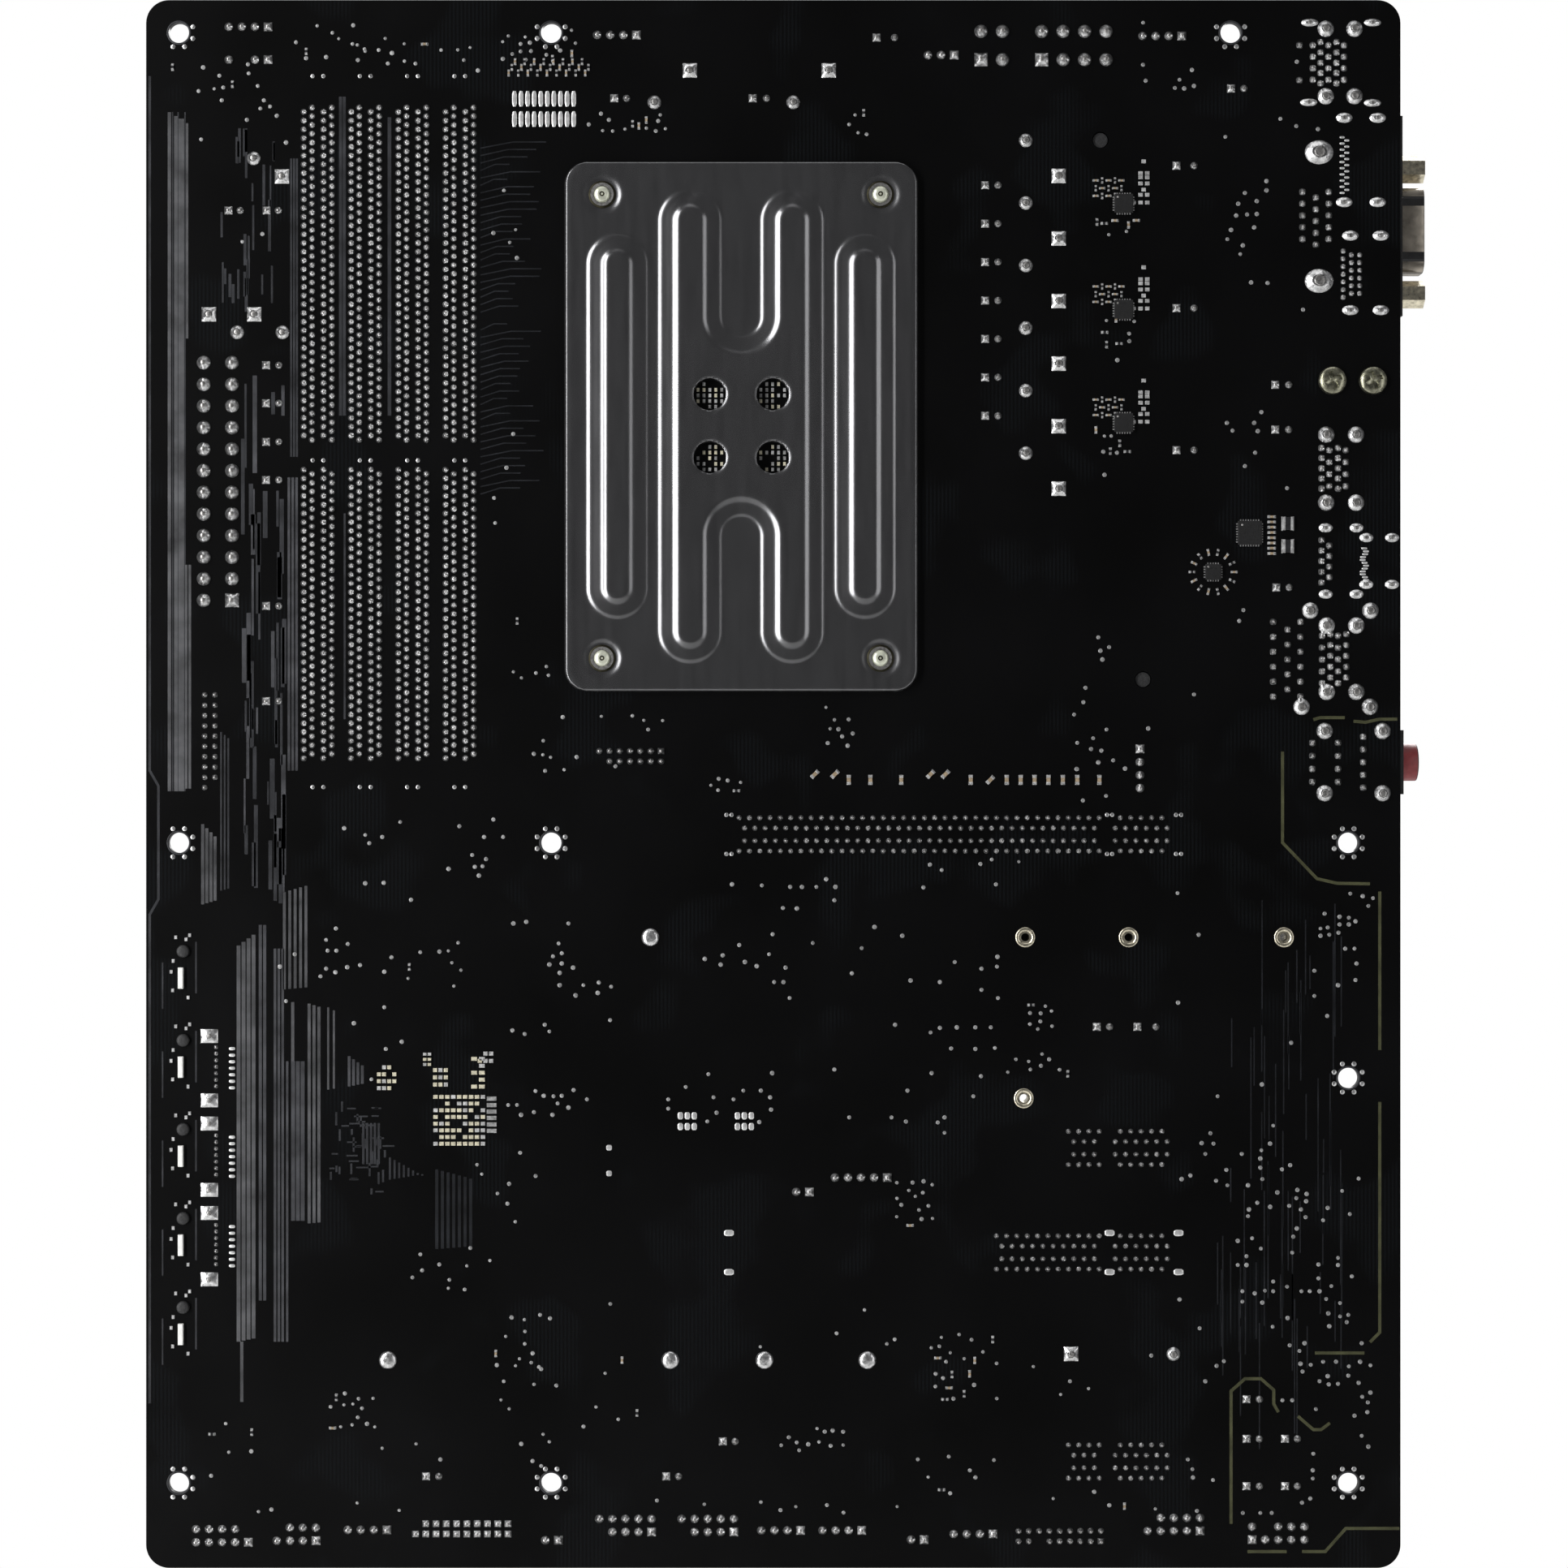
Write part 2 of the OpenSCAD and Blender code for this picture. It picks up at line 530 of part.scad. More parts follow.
// ---------- power connectors and voltage regulator ----------

// Housing round a grid of power pins, from the first pin
module power_housing(bx, bz, dx, dz, nx, nz) {
    w = dx * (nx - 1);
    h = dz * (nz - 1);
    difference() {
        plate(front, front + power_h) rect(bx + w / 2, bz + h / 2, w + 5.2, h + 5.2, 0.6);
        for (i = [0:nx - 1], j = [0:nz - 1])
            plate(front + 2.6, front + power_h + 1) rect(bx + dx * i, bz + dz * j, power_cell, power_cell);
    }
}
module atx_power_header() color([0.09, 0.09, 0.09]) {
    power_housing(11.2, 188.1, 5.5, power_pitch, 2, 12);
    box([7, 8.6], [front + 8, front + power_h], [208.2, 214.2]);
}
module eps_power_headers() color([0.09, 0.09, 0.09]) {
    power_housing(174.1, 293.2, 4.17, 5.5, 4, 2);
    power_housing(162.3, 293.2, 4.17, 5.5, 2, 2);
}
module power_pins() color([0.8, 0.78, 0.7])
    for (p = concat(ATX_PINS, EPS_PINS))
        box([p[0] - 0.5, p[0] + 0.5], [front + 2.6, front + 11], [p[1] - 0.5, p[1] + 0.5]);

SINK_X = [181, 197.4];
SINK_Z = [178, 280];
module vrm_heatsink() color([0.17, 0.17, 0.18]) difference() {
    union() {
        box(SINK_X, [front + 1, front + vrm_sink_h], SINK_Z);
        plate(front + 1, front + 5) rect(185.5, 277.6, 9, 9, 4);
        plate(front + 1, front + 5) rect(193.8, 174.6, 7.2, 10, 3);
    }
    // fins
    for (k = [0:15]) box([SINK_X[0] - 1, SINK_X[1] + 1], [front + 9, front + vrm_sink_h + 1],
                         [SINK_Z[0] + 5 + 6.1 * k, SINK_Z[0] + 8.2 + 6.1 * k]);
    for (s = SINK_SCREWS) {
        rod(s[0], s[1], 1.6, front, front + vrm_sink_h + 1);
        rod(s[0], s[1], 3.4, front + 5, front + vrm_sink_h + 1);
    }
}
module vrm_heatsink_screws() color([0.55, 0.55, 0.57])
    for (s = SINK_SCREWS) screw(s[0], s[1], front + 5, 0.5, 3, 2, 1.45);

module chokes() color([0.22, 0.22, 0.23])
    for (c = CHOKES) plate(front, front + 7.4) rect(c[0], c[1], c[2], c[3], 0.8);

module capacitors() color([0.16, 0.16, 0.17])
    for (c = CAPS) {
        h = c[2] > 3.5 ? 11 : 8;
        rod(c[0], c[1], c[2], front, front + h);
    }

module mosfets() color([0.1, 0.1, 0.1]) {
    for (k = [0:5], x = [184.9, 192.4])
        plate(front, front + 1) rect(x, 274.05 - 12.16 * k - (k == 0 ? 5.2 : 0), 5, 5);
    for (x = [98, 106.4, 125, 133.4]) plate(front, front + 1) rect(x, 279, 5, 5);
}

// ---------- chipset and battery ----------

module chipset() color([0.1, 0.12, 0.11]) {
    plate(front, front + 1) rect(60, 92, 27, 27);
    plate(front + 1, front + 1.8) rect(60, 92, 11, 10);
}
module chipset_heatsink() color([0.17, 0.17, 0.18]) difference() {
    y = front + 1.8;
    plate(y, y + chipset_sink_h) rect(60, 92, 48, 42, 3);
    for (k = [-3:3]) box([30, 90], [y + 3.4, y + 20], [92 + 5 * k - 1.1, 92 + 5 * k + 1.1]);
}

BATTERY = [103, 99.4];
module battery_holder() color([0.1, 0.1, 0.1]) difference() {
    plate(front, front + 4.4) union() {
        disc(BATTERY[0], BATTERY[1], 11.6);
        rect(BATTERY[0], BATTERY[1], 8, 23.6, 0.5);
    }
    rod(BATTERY[0], BATTERY[1], 10.3, front + 0.9, front + 10);
}
module cmos_battery() color([0.8, 0.8, 0.82]) {
    rod(BATTERY[0], BATTERY[1], 10, front + 0.9, front + 3.7);
    rod(BATTERY[0], BATTERY[1], 8.6, front + 3.7, front + 4.1);
}

// ---------- rear ports ----------

// Opening of a USB type A port with its tongue, centred at y, z and open at the face
module usb_a_cut(face, y, z) {
    difference() {
        box([face - 14, face + 1], [y - 2.9, y + 2.9], [z - 6.6, z + 6.6]);
        box([face - 15, face - 1.5], [y + 0.2, y + 2], [z - 5.6, z + 5.6]);
    }
}

module io_ps2_usb() color([0.6, 0.6, 0.6]) {
    face = board_w + shell_reach;
    z = 292.7;
    difference() {
        box([222.6, face], [front, front + 18.1], [z - 8.7, z + 8.7]);
        for (y = [6.4, 14.2]) usb_a_cut(face, front + y, z);
    }
    difference() {
        box([222.6, face], [front + 18.15, front + 31], [z - 8.7, z + 8.7]);
        at(face - 9, z, front + 24.4) rotate([0, 90, 0]) cylinder(h = 12, r = 5);
    }
}

module io_video() color([0.09, 0.09, 0.09]) {
    face = board_w + 0.7;
    difference() {
        union() {
            box([224, face], [front, front + 11], [243.6, 282.6]);
            box([224, face], [front + 11, front + 25], [246.4, 279]);
            // shell and insert of the analogue video port
            at(face - 1, 262.7, front + 17.6) rotate([0, 90, 0])
                linear_extrude(7.7) rect(0, 0, 17, 8.6, 2.5);
        }
        box([face - 10, face + 1], [front + 3, front + 7.6], [273.7 - 7.4, 273.7 + 7.4]);
        box([face - 10, face + 1], [front + 3, front + 8], [251.8 - 8, 251.8 + 8]);
    }
    for (z = [273.7, 251.8]) box([face - 10, face - 1.5], [front + 5, front + 5.9], [z - 5.5, z + 5.5]);
}
module vga_jackscrews() color([0.66, 0.62, 0.5])
    for (s = [-1, 1]) at(board_w + 0.7, 262.7 + 12.5 * s, front + 17.6) rotate([0, 90, 0]) difference() {
        cylinder(h = 7.2, r = 2.75, $fn = 6);
        translate([0, 0, 1.2]) cylinder(h = 7, r = 1.25);
    }

// Folded steel bracket for a plug-in radio module
module module_bracket() color([0.7, 0.7, 0.7]) difference() {
    union() {
        box([226.4, 242.6], [front, front + 1], [226, 235.6]);
        box([241.6, 242.6], [front, front + 24], [226, 235.6]);
    }
    for (s = BRACKET_SCREWS) rod(s[0], s[1], 1.35, 0, front + 3);
    for (y = [8, 18]) at(240, 230.8, front + y) rotate([0, 90, 0]) cylinder(h = 5, r = 3.2);
}
module module_bracket_screws() color([0.7, 0.68, 0.6])
    for (s = BRACKET_SCREWS) screw(s[0], s[1], 0, front + 2.2, 2.75, 1.4, 1.3, false);

module io_usb() color([0.75, 0.75, 0.76]) {
    face = board_w + shell_reach;
    z = 213.7;
    difference() {
        box([226, face], [front, front + 16.2], [z - 7.7, z + 7.7]);
        for (y = [4.2, 12]) usb_a_cut(face, front + y, z);
    }
}
module io_usb_c() color([0.75, 0.75, 0.76]) {
    face = board_w + shell_reach;
    z = 195.8;
    difference() {
        box([227, face], [front, front + 16.2], [z - 7.7, z + 7.7]);
        usb_a_cut(face, front + 12, z);
        at(face - 8, z, front + 4) rotate([0, 90, 0]) linear_extrude(9) rect(0, 0, 3.2, 9, 1.55);
    }
    box([face - 9, face - 1], [front + 3.65, front + 4.35], [z - 3.3, z + 3.3]);
}
module io_lan_usb() color([0.75, 0.75, 0.76]) {
    face = board_w + shell_reach;
    z = 176.8;
    difference() {
        box([217.5, face], [front, front + 30.4], [z - 8.4, z + 8.4]);
        for (y = [4.2, 12]) usb_a_cut(face, front + y, z);
        box([face - 13, face + 1], [front + 18.4, front + 26.6], [z - 5.9, z + 5.9]);
        box([face - 13, face + 1], [front + 26, front + 29], [z - 2.6, z + 2.6]);
    }
}

// Three stacked jacks, each a block with a barrel through its face
JACKS = [[6.6, 0, 11.85], [17.2, 11.9, 22.45], [27.8, 22.5, 34]];
module io_audio() color([0.09, 0.09, 0.09]) for (jack = JACKS) {
    face = board_w + 0.9;
    y = front + jack[0];
    difference() {
        union() {
            box([225, face], [front + jack[1], front + jack[2]], [150.4, 162.9]);
            at(face - 1, 156.65, y) rotate([0, 90, 0]) cylinder(h = 4.5, r = 3.6);
        }
        at(face - 13, 156.65, y) rotate([0, 90, 0]) cylinder(h = 18, r = 1.8);
    }
}

// ---------- other connectors ----------

// Double right-angled data port that opens at the left edge
module sata_port(z) {
    difference() {
        box([0.6, 18.4], [front, front + 13.4], [z - 7.3, z + 7.3]);
        for (y = [2.9, 8.9]) difference() {
            box([-1, 7], [front + y - 1.6, front + y + 1.6], [z - 5.6, z + 5.6]);
            box([1.4, 8], [front + y - 0.5, front + y + 0.6], [z - 4.4, z + 4.4]);
        }
    }
}
module sata_ports() color([0.1, 0.1, 0.1]) for (z = [97.15, 79.95, 62.55]) sata_port(z);

module usb3_housing(bx, bz, w, h) {
    difference() {
        plate(front, front + 8.6) rect(bx, bz, w, h, 0.6);
        plate(front + 1.8, front + 10) rect(bx, bz, w - 2.6, h - 2.6);
    }
}
module usb3_headers() color([0.1, 0.1, 0.1]) {
    usb3_housing(61.35, 7.6, 25.6, 7);
    usb3_housing(12.4, 160.7, 7, 25.6);
}

module header_bases() color([0.1, 0.1, 0.1]) {
    for (h = HEADERS)
        plate(front, front + header_base_h)
            rect(h[0] + (h[2] - 1) * h[4] / 2, h[1] + (h[3] - 1) * h[4] / 2, h[2] * h[4], h[3] * h[4], 0.3);
    for (f = FANS) {
        w = f[2] == 0 ? 10.2 : 2.6;
        h = f[2] == 0 ? 2.6 : 10.2;
        cx = f[0] + (f[2] == 0 ? 3.81 : 0);
        cz = f[1] + (f[2] == 0 ? 0 : 3.81);
        plate(front, front + header_base_h) rect(cx, cz, w, h, 0.3);
        // guide wall of a fan header
        if (f[2] == 0) box([cx - 3.2, cx + 3.2], [front, front + 8.4], [cz + 1.3, cz + 2.3]);
        if (f[2] == 1) box([cx + 1.3, cx + 2.3], [front, front + 8.4], [cz - 3.2, cz + 3.2]);
    }
}

// Square pins, each from the top of its base
module upright_pin(p, y0) {
    box([p[0] - pin_w / 2, p[0] + pin_w / 2], [y0, front + header_pin_h],
        [p[1] - pin_w / 2, p[1] + pin_w / 2]);
}
module header_pins() color([0.85, 0.72, 0.38]) {
    for (h = HEADERS, p = header_pin_places(h)) upright_pin(p, front + header_base_h);
    for (f = FANS, p = fan_pin_places(f)) upright_pin(p, front + header_base_h);
    for (u = USB3, p = usb3_pin_places(u)) upright_pin(p, front + 1.8);
}

// Packaged chips on the component side: centre, width and height
FRONT_CHIPS = [[216, 44, 9, 9], [150, 22, 14, 14], [90, 22, 5.3, 5.3], [207, 201, 6, 6],
    [32, 30, 7, 7], [212, 165, 7, 7]];
module front_chips() color([0.09, 0.09, 0.09])
    for (c = FRONT_CHIPS) plate(front, front + 1.2) rect(c[0], c[1], c[2], c[3], 0.2);

pcb();
cpu_backplate();
backplate_insulator();
backplate_posts();
solder_joints();
back_passives();
back_chips();
edge_leds();
cpu_socket();
socket_cover();
socket_lever();
cooler_bracket_upper();
cooler_bracket_lower();
cooler_screws();
dimm_slot_1();
dimm_slot_2();
dimm_slot_3();
dimm_slot_4();
dimm_latch_1();
dimm_latch_2();
dimm_latch_3();
dimm_latch_4();
pcie_slot_1();
pcie_slot_2();
pcie_slot_3();
pcie_slot_4();
pcie_latch_1();
pcie_latch_3();
m2_sockets();
wifi_socket();
m2_standoffs();
m2_heatsink_upper();
m2_heatsink_lower();
m2_heatsink_screws();
atx_power_header();
eps_power_headers();
power_pins();
vrm_heatsink();
vrm_heatsink_screws();
chokes();
capacitors();
mosfets();
chipset();
chipset_heatsink();
battery_holder();
cmos_battery();
io_ps2_usb();
io_video();
module_bracket();
module_bracket_screws();
io_usb();
io_usb_c();
io_lan_usb();
io_audio();
vga_jackscrews();
sata_ports();
usb3_headers();
header_bases();
header_pins();
front_chips();
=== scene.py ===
import math
import random

import bpy
import bmesh
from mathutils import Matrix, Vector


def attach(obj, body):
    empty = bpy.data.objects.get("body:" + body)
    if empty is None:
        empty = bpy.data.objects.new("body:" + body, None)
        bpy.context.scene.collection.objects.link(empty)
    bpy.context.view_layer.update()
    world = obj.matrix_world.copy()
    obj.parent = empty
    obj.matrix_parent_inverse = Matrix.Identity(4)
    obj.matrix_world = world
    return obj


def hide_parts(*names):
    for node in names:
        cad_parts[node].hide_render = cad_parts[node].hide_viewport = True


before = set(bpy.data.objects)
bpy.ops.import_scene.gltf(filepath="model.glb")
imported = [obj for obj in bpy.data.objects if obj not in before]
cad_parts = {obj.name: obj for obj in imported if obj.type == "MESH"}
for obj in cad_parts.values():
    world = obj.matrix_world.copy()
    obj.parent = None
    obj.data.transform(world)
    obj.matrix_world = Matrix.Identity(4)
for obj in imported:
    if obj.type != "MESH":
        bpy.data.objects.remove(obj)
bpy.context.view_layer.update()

# ---------------------------------------------------------------- places on the board
# Board coordinates are millimetres from the lower left corner as seen from the solder side.
# The solder side faces -Y and the component side +Y.
MM = 0.001
DATUM_X, DATUM_Z = 120.015, 78.74
BOARD_W, BOARD_H, FRONT = 243.84, 304.8, 1.6
CPU = (115.7, 221.8)
SOLDER, PARTS = -1, 1     # which side a shape stands on
COPPER, THIN_COPPER = 0.035, 0.03     # heights of the masked tracks

HOLES = [(x, z) for x in (6.35, 78.74, 233.68) for z in (16.51, 140.97)]
HOLES += [(6.35, 298.45), (78.74, 298.45), (210.82, 298.45), (233.68, 95.25)]


def grid(bx, bz, columns, rows, dx, dz=None):
    """Places in columns and rows; dz is dx unless it is given."""
    dz = dx if dz is None else dz
    return [(bx + i * dx, bz + j * dz) for i in range(columns) for j in range(rows)]


def lift(h):
    """The height of a point h above the component side."""
    return FRONT + h


def unit(x, z):
    length = math.hypot(x, z)
    return (x / length, z / length) if length > 1e-9 else (0.0, 0.0)


def link(o):
    bpy.context.scene.collection.objects.link(o)
    return o


# ---------------------------------------------------------------- mesh building


def ring_faces(rings, sides):
    """The faces between rings of points, each ring with the same number of sides."""
    faces = []
    for i in range(rings - 1):
        for k in range(sides):
            a, b = i * sides + k, i * sides + (k + 1) % sides
            faces.append((a, b, b + sides, a + sides))
    return faces


class Batch:
    """Many small shapes gathered into one mesh, in board coordinates."""

    def __init__(self):
        self.verts, self.faces, self.slots, self.smooth = [], [], [], []

    def add(self, verts, faces, slot=0, smooth=False):
        n = len(self.verts)
        self.verts += [((x - DATUM_X) * MM, y * MM, (z - DATUM_Z) * MM) for x, y, z in verts]
        self.faces += [tuple(n + i for i in f) for f in faces]
        self.slots += [slot] * len(faces)
        self.smooth += [smooth] * len(faces)

    def turned(self, bx, bz, profile, side=SOLDER, base=0.0, slot=0, sides=16, square=0.0, stretch=(1, 1),
               open_top=False):
        """A turned shape that rises from height base; profile is (radius, height) from the rim inwards.
        square, from 0 to 1, is how square the rim is, and it fades out towards the top."""
        verts, rings = [], len(profile)
        for i, (r, h) in enumerate(profile):
            sq = square * (1 - i / max(1, rings - 1)) ** 0.7
            for k in range(sides):
                a = 2 * math.pi * k / sides
                c, s = math.cos(a), math.sin(a)
                m = 1 + sq * (1 / max(abs(c), abs(s)) - 1)
                verts.append((bx + r * m * c * stretch[0], side * (base + h), bz + r * m * s * stretch[1]))
        faces = ring_faces(rings, sides)
        if not open_top:
            faces.append(tuple(range((rings - 1) * sides, rings * sides)))
        if side == PARTS:
            faces = [f[::-1] for f in faces]
        self.add(verts, faces, slot, True)

    def block(self, bx, bz, w, h, y0, y1, slot=0, angle=0.0, chamfer=0.0):
        """A box about bx, bz from height y0 to y1, with its far edges chamfered."""
        c, s = math.cos(angle), math.sin(angle)
        levels = [(0, y0), (0, y1)]
        if chamfer:
            levels = [(0, y0), (0, y1 - math.copysign(chamfer, y1 - y0)), (chamfer, y1)]
        verts = []
        for inset, y in levels:
            for sx, sz in ((-1, -1), (1, -1), (1, 1), (-1, 1)):
                px, pz = sx * (w / 2 - inset), sz * (h / 2 - inset)
                verts.append((bx + px * c - pz * s, y, bz + px * s + pz * c))
        faces = [(0, 1, 2, 3)]
        for lv in range(len(levels) - 1):
            for k in range(4):
                a, b = lv * 4 + k, lv * 4 + (k + 1) % 4
                faces.append((b, a, a + 4, b + 4))
        top = (len(levels) - 1) * 4
        faces.append((top + 3, top + 2, top + 1, top))
        if y1 > y0:
            faces = [f[::-1] for f in faces]
        self.add(verts, faces, slot)

    def tube(self, y, z, profile, slot=0, sides=32):
        """A turned shape about an axis along +X at y, z; profile is (radius, bx), with open ends."""
        verts = []
        for r, x in profile:
            for k in range(sides):
                a = 2 * math.pi * k / sides
                verts.append((x, y + r * math.cos(a), z + r * math.sin(a)))
        self.add(verts, ring_faces(len(profile), sides), slot, True)

    def ribbon(self, points, width, height, slot=0):
        """A flat strip of even width along points, which stands height off the solder side."""
        left, right = [], []
        for i, (x, z) in enumerate(points):
            ahead = points[min(i + 1, len(points) - 1)]
            behind = points[max(i - 1, 0)]
            d_in = unit(x - behind[0], z - behind[1]) if i else None
            d_out = unit(ahead[0] - x, ahead[1] - z) if i < len(points) - 1 else None
            d_in, d_out = d_in or d_out, d_out or d_in
            tx, tz = unit(d_in[0] + d_out[0], d_in[1] + d_out[1])
            reach = width / 2 / max(0.4, tx * d_in[0] + tz * d_in[1])
            left.append((x - tz * reach, z + tx * reach))
            right.append((x + tz * reach, z - tx * reach))
        n = len(points)
        verts = [(x, y, z) for y in (0, -height) for x, z in left + right]
        faces, t = [], 2 * n
        for i in range(n - 1):
            a, b, c, d = i, i + 1, n + i + 1, n + i
            faces.append((a + t, b + t, c + t, d + t))
            if i == 0:
                faces.append((d, d + t, a + t, a))
            faces += [(a, b, b + t, a + t), (d, d + t, c + t, c)]
        self.add(verts, faces, slot)

    def make(self, name, materials, body="board", slot=None, replaces=(), fix_normals=False):
        """Turns the batch into a piece of the scene that rides on a body and stands in for CAD nodes."""
        mesh = bpy.data.meshes.new(name)
        mesh.from_pydata(self.verts, [], self.faces)
        mesh.polygons.foreach_set("material_index", self.slots)
        mesh.polygons.foreach_set("use_smooth", self.smooth)
        for m in materials:
            mesh.materials.append(m)
        mesh.validate()
        if fix_normals:
            bm = bmesh.new()
            bm.from_mesh(mesh)
            bmesh.ops.recalc_face_normals(bm, faces=bm.faces)
            bm.to_mesh(mesh)
            bm.free()
        piece = link(bpy.data.objects.new(name, mesh))
        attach(piece, body)
        if replaces:
            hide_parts(*replaces)


# ---------------------------------------------------------------- materials


def add_node(nodes, kind, **inputs):
    """A new shader node with some of its inputs set."""
    node = nodes.new("ShaderNode" + kind)
    for key, value in inputs.items():
        node.inputs[key.replace("_", " ")].default_value = value
    return node


def surface(name, colour, rough=0.5, metal=0.0, specular=0.5, grain=400.0, shade=0.12, bump=0.15,
            rough_var=0.08, stretch=(1, 1, 1), second=None):
    """A moulded, plated or painted finish: colour and roughness vary with a fine noise, which is also
    its bump. grain is the noise's scale per metre, and stretch draws it out along an axis. The noise
    runs from a second, darker colour to one a little lighter than colour; shade says how far."""
    mat = bpy.data.materials.new(name)
    mat.use_nodes = True
    nodes, links = mat.node_tree.nodes, mat.node_tree.links
    bsdf = nodes["Principled BSDF"]
    bsdf.inputs["Metallic"].default_value = metal
    bsdf.inputs["Specular IOR Level"].default_value = specular
    coord = add_node(nodes, "TexCoord")
    mapping = add_node(nodes, "Mapping", Scale=stretch)
    links.new(coord.outputs["Object"], mapping.inputs["Vector"])
    noise = add_node(nodes, "TexNoise", Scale=grain, Detail=4)
    links.new(mapping.outputs["Vector"], noise.inputs["Vector"])
    ramp = add_node(nodes, "ValToRGB")
    second = second or [c * (1 - 2 * shade) for c in colour]
    low, high = ramp.color_ramp.elements
    low.position, low.color = 0.3, (*second, 1)
    high.position, high.color = 0.7, (*[min(1, c * (1 + shade)) for c in colour], 1)
    links.new(noise.outputs["Fac"], ramp.inputs["Fac"])
    links.new(ramp.outputs["Color"], bsdf.inputs["Base Color"])
    spread = add_node(nodes, "MapRange", To_Min=max(0.02, rough - rough_var),
                      To_Max=min(1, rough + rough_var))
    links.new(noise.outputs["Fac"], spread.inputs["Value"])
    links.new(spread.outputs["Result"], bsdf.inputs["Roughness"])
    if bump:
        bumper = add_node(nodes, "Bump", Strength=bump, Distance=0.0002)
        links.new(noise.outputs["Fac"], bumper.inputs["Height"])
        links.new(bumper.outputs["Normal"], bsdf.inputs["Normal"])
    return mat


def mask_material():
    """Black solder mask: nearly black, with broad bluish pours and a faint pattern of fine tracks."""
    mat = surface("solder_mask", (0.0018, 0.0018, 0.002), rough=0.3, specular=0.16, grain=26, shade=0.25,
                  bump=0.0, rough_var=0.05, second=(0.0011, 0.0011, 0.0011))
    nodes, links = mat.node_tree.nodes, mat.node_tree.links
    coord = next(n for n in nodes if n.type == "TEX_COORD")
    bsdf = nodes["Principled BSDF"]
    ramp = next(n for n in nodes if n.type == "VALTORGB")
    # tracks: stripes along the height, shown only in patches
    lines = add_node(nodes, "TexWave", Scale=420, Distortion=0.6, Detail_Scale=8)
    lines.wave_type, lines.bands_direction = "BANDS", "X"
    links.new(coord.outputs["Object"], lines.inputs["Vector"])
    patches = add_node(nodes, "TexNoise", Scale=45, Detail=2)
    links.new(coord.outputs["Object"], patches.inputs["Vector"])
    where = add_node(nodes, "MapRange", From_Min=0.56, From_Max=0.62)
    links.new(patches.outputs["Fac"], where.inputs["Value"])
    amount = add_node(nodes, "Math")
    amount.operation = "MULTIPLY"
    links.new(lines.outputs["Fac"], amount.inputs[0])
    links.new(where.outputs["Result"], amount.inputs[1])
    mix = add_node(nodes, "Mix")
    mix.data_type = "RGBA"
    mix.inputs["B"].default_value = (0.004, 0.0047, 0.0055, 1)
    links.new(amount.outputs["Value"], mix.inputs["Factor"])
    links.new(ramp.outputs["Color"], mix.inputs["A"])
    links.new(mix.outputs["Result"], bsdf.inputs["Base Color"])
    return mat


def finishes(**common):
    """A maker of materials that share some settings."""
    return lambda name, colour, **own: surface(name, colour, **{**common, **own})


MASK = mask_material()
copper = finishes(rough=0.42, specular=0.3, grain=180, shade=0.3, bump=0.05)
# the tracks' pattern is real; their brightness, in four copies from lit to faint, is painted highlight
TRACE_PAINTED_SHEEN = copper("masked_copper", (0.082, 0.083, 0.088), specular=0.35)
TRACE_PAINTED_SHEEN_MID = copper("masked_copper_mid", (0.055, 0.056, 0.062))
TRACE_PAINTED_SHEEN_DIM = copper("masked_copper_dim", (0.028, 0.029, 0.033))
TRACE_PAINTED_SHEEN_FAINT = copper("masked_copper_faint", (0.011, 0.012, 0.0145), specular=0.25)
OLIVE = copper("isolation_line", (0.062, 0.064, 0.03), rough=0.5, grain=300, shade=0.2)
metal = finishes(metal=1, rough=0.3, grain=900)
SOLDER_TIN = metal("solder_tin", (0.86, 0.86, 0.87), grain=1500, shade=0.25, bump=0.5)
BRIGHT_TIN = metal("bright_tin", (0.93, 0.93, 0.92), rough=0.36, metal=0.75, bump=0.2)
POINT_TIN = metal("test_point_tin", (0.4, 0.4, 0.4), rough=0.5, metal=0.6, grain=1500, shade=0.25, bump=0.3)
PASTE = metal("reflowed_paste", (0.62, 0.62, 0.62), rough=0.45, metal=0.6, grain=1200, shade=0.2, bump=0.3)
PIN_TIP = metal("pin_tip", (0.42, 0.41, 0.4), rough=0.4, grain=2500, shade=0.2)
GOLD = metal("gold_flash", (0.85, 0.66, 0.33), rough=0.28, grain=1500, shade=0.1)
GOLD_PLATE = metal("plated_ring", (0.78, 0.72, 0.56), grain=1200, shade=0.2)
OLD_BRASS = metal("dark_brass", (0.05, 0.046, 0.03), rough=0.45, shade=0.3, bump=0.3)
GOLD_PALE = metal("pale_brass", (0.78, 0.8, 0.66), rough=0.35, metal=0.5, shade=0.15, bump=0.3)
OLIVE_STEEL = metal("olive_plated_steel", (0.3, 0.295, 0.22), rough=0.28, metal=0.9, shade=0.3, bump=0.3)
STEEL = metal("bright_steel", (0.74, 0.74, 0.75), rough=0.25, grain=700, shade=0.04, bump=0.02)
PLATE_STEEL = metal("pressed_steel", (0.16, 0.16, 0.165), rough=0.24, metal=0.9, grain=240, shade=0.06,
                    bump=0.0, rough_var=0.02, stretch=(3, 1, 0.4))
SHELL = metal("plated_shell", (0.45, 0.44, 0.41), rough=0.34, grain=300, shade=0.04, bump=0.02,
              stretch=(1, 6, 1))
NICKEL = metal("brown_nickel", (0.5, 0.45, 0.38), grain=500, shade=0.15)
CAN_TOP = metal("bare_can_top", (0.55, 0.55, 0.56), rough=0.35, shade=0.1)
SINK = metal("anodised_aluminium", (0.035, 0.035, 0.038), rough=0.4, metal=0.6, shade=0.15,
             stretch=(1, 1, 12))
CAN = metal("coated_can", (0.035, 0.035, 0.037), rough=0.35, metal=0.4, grain=500, shade=0.15)
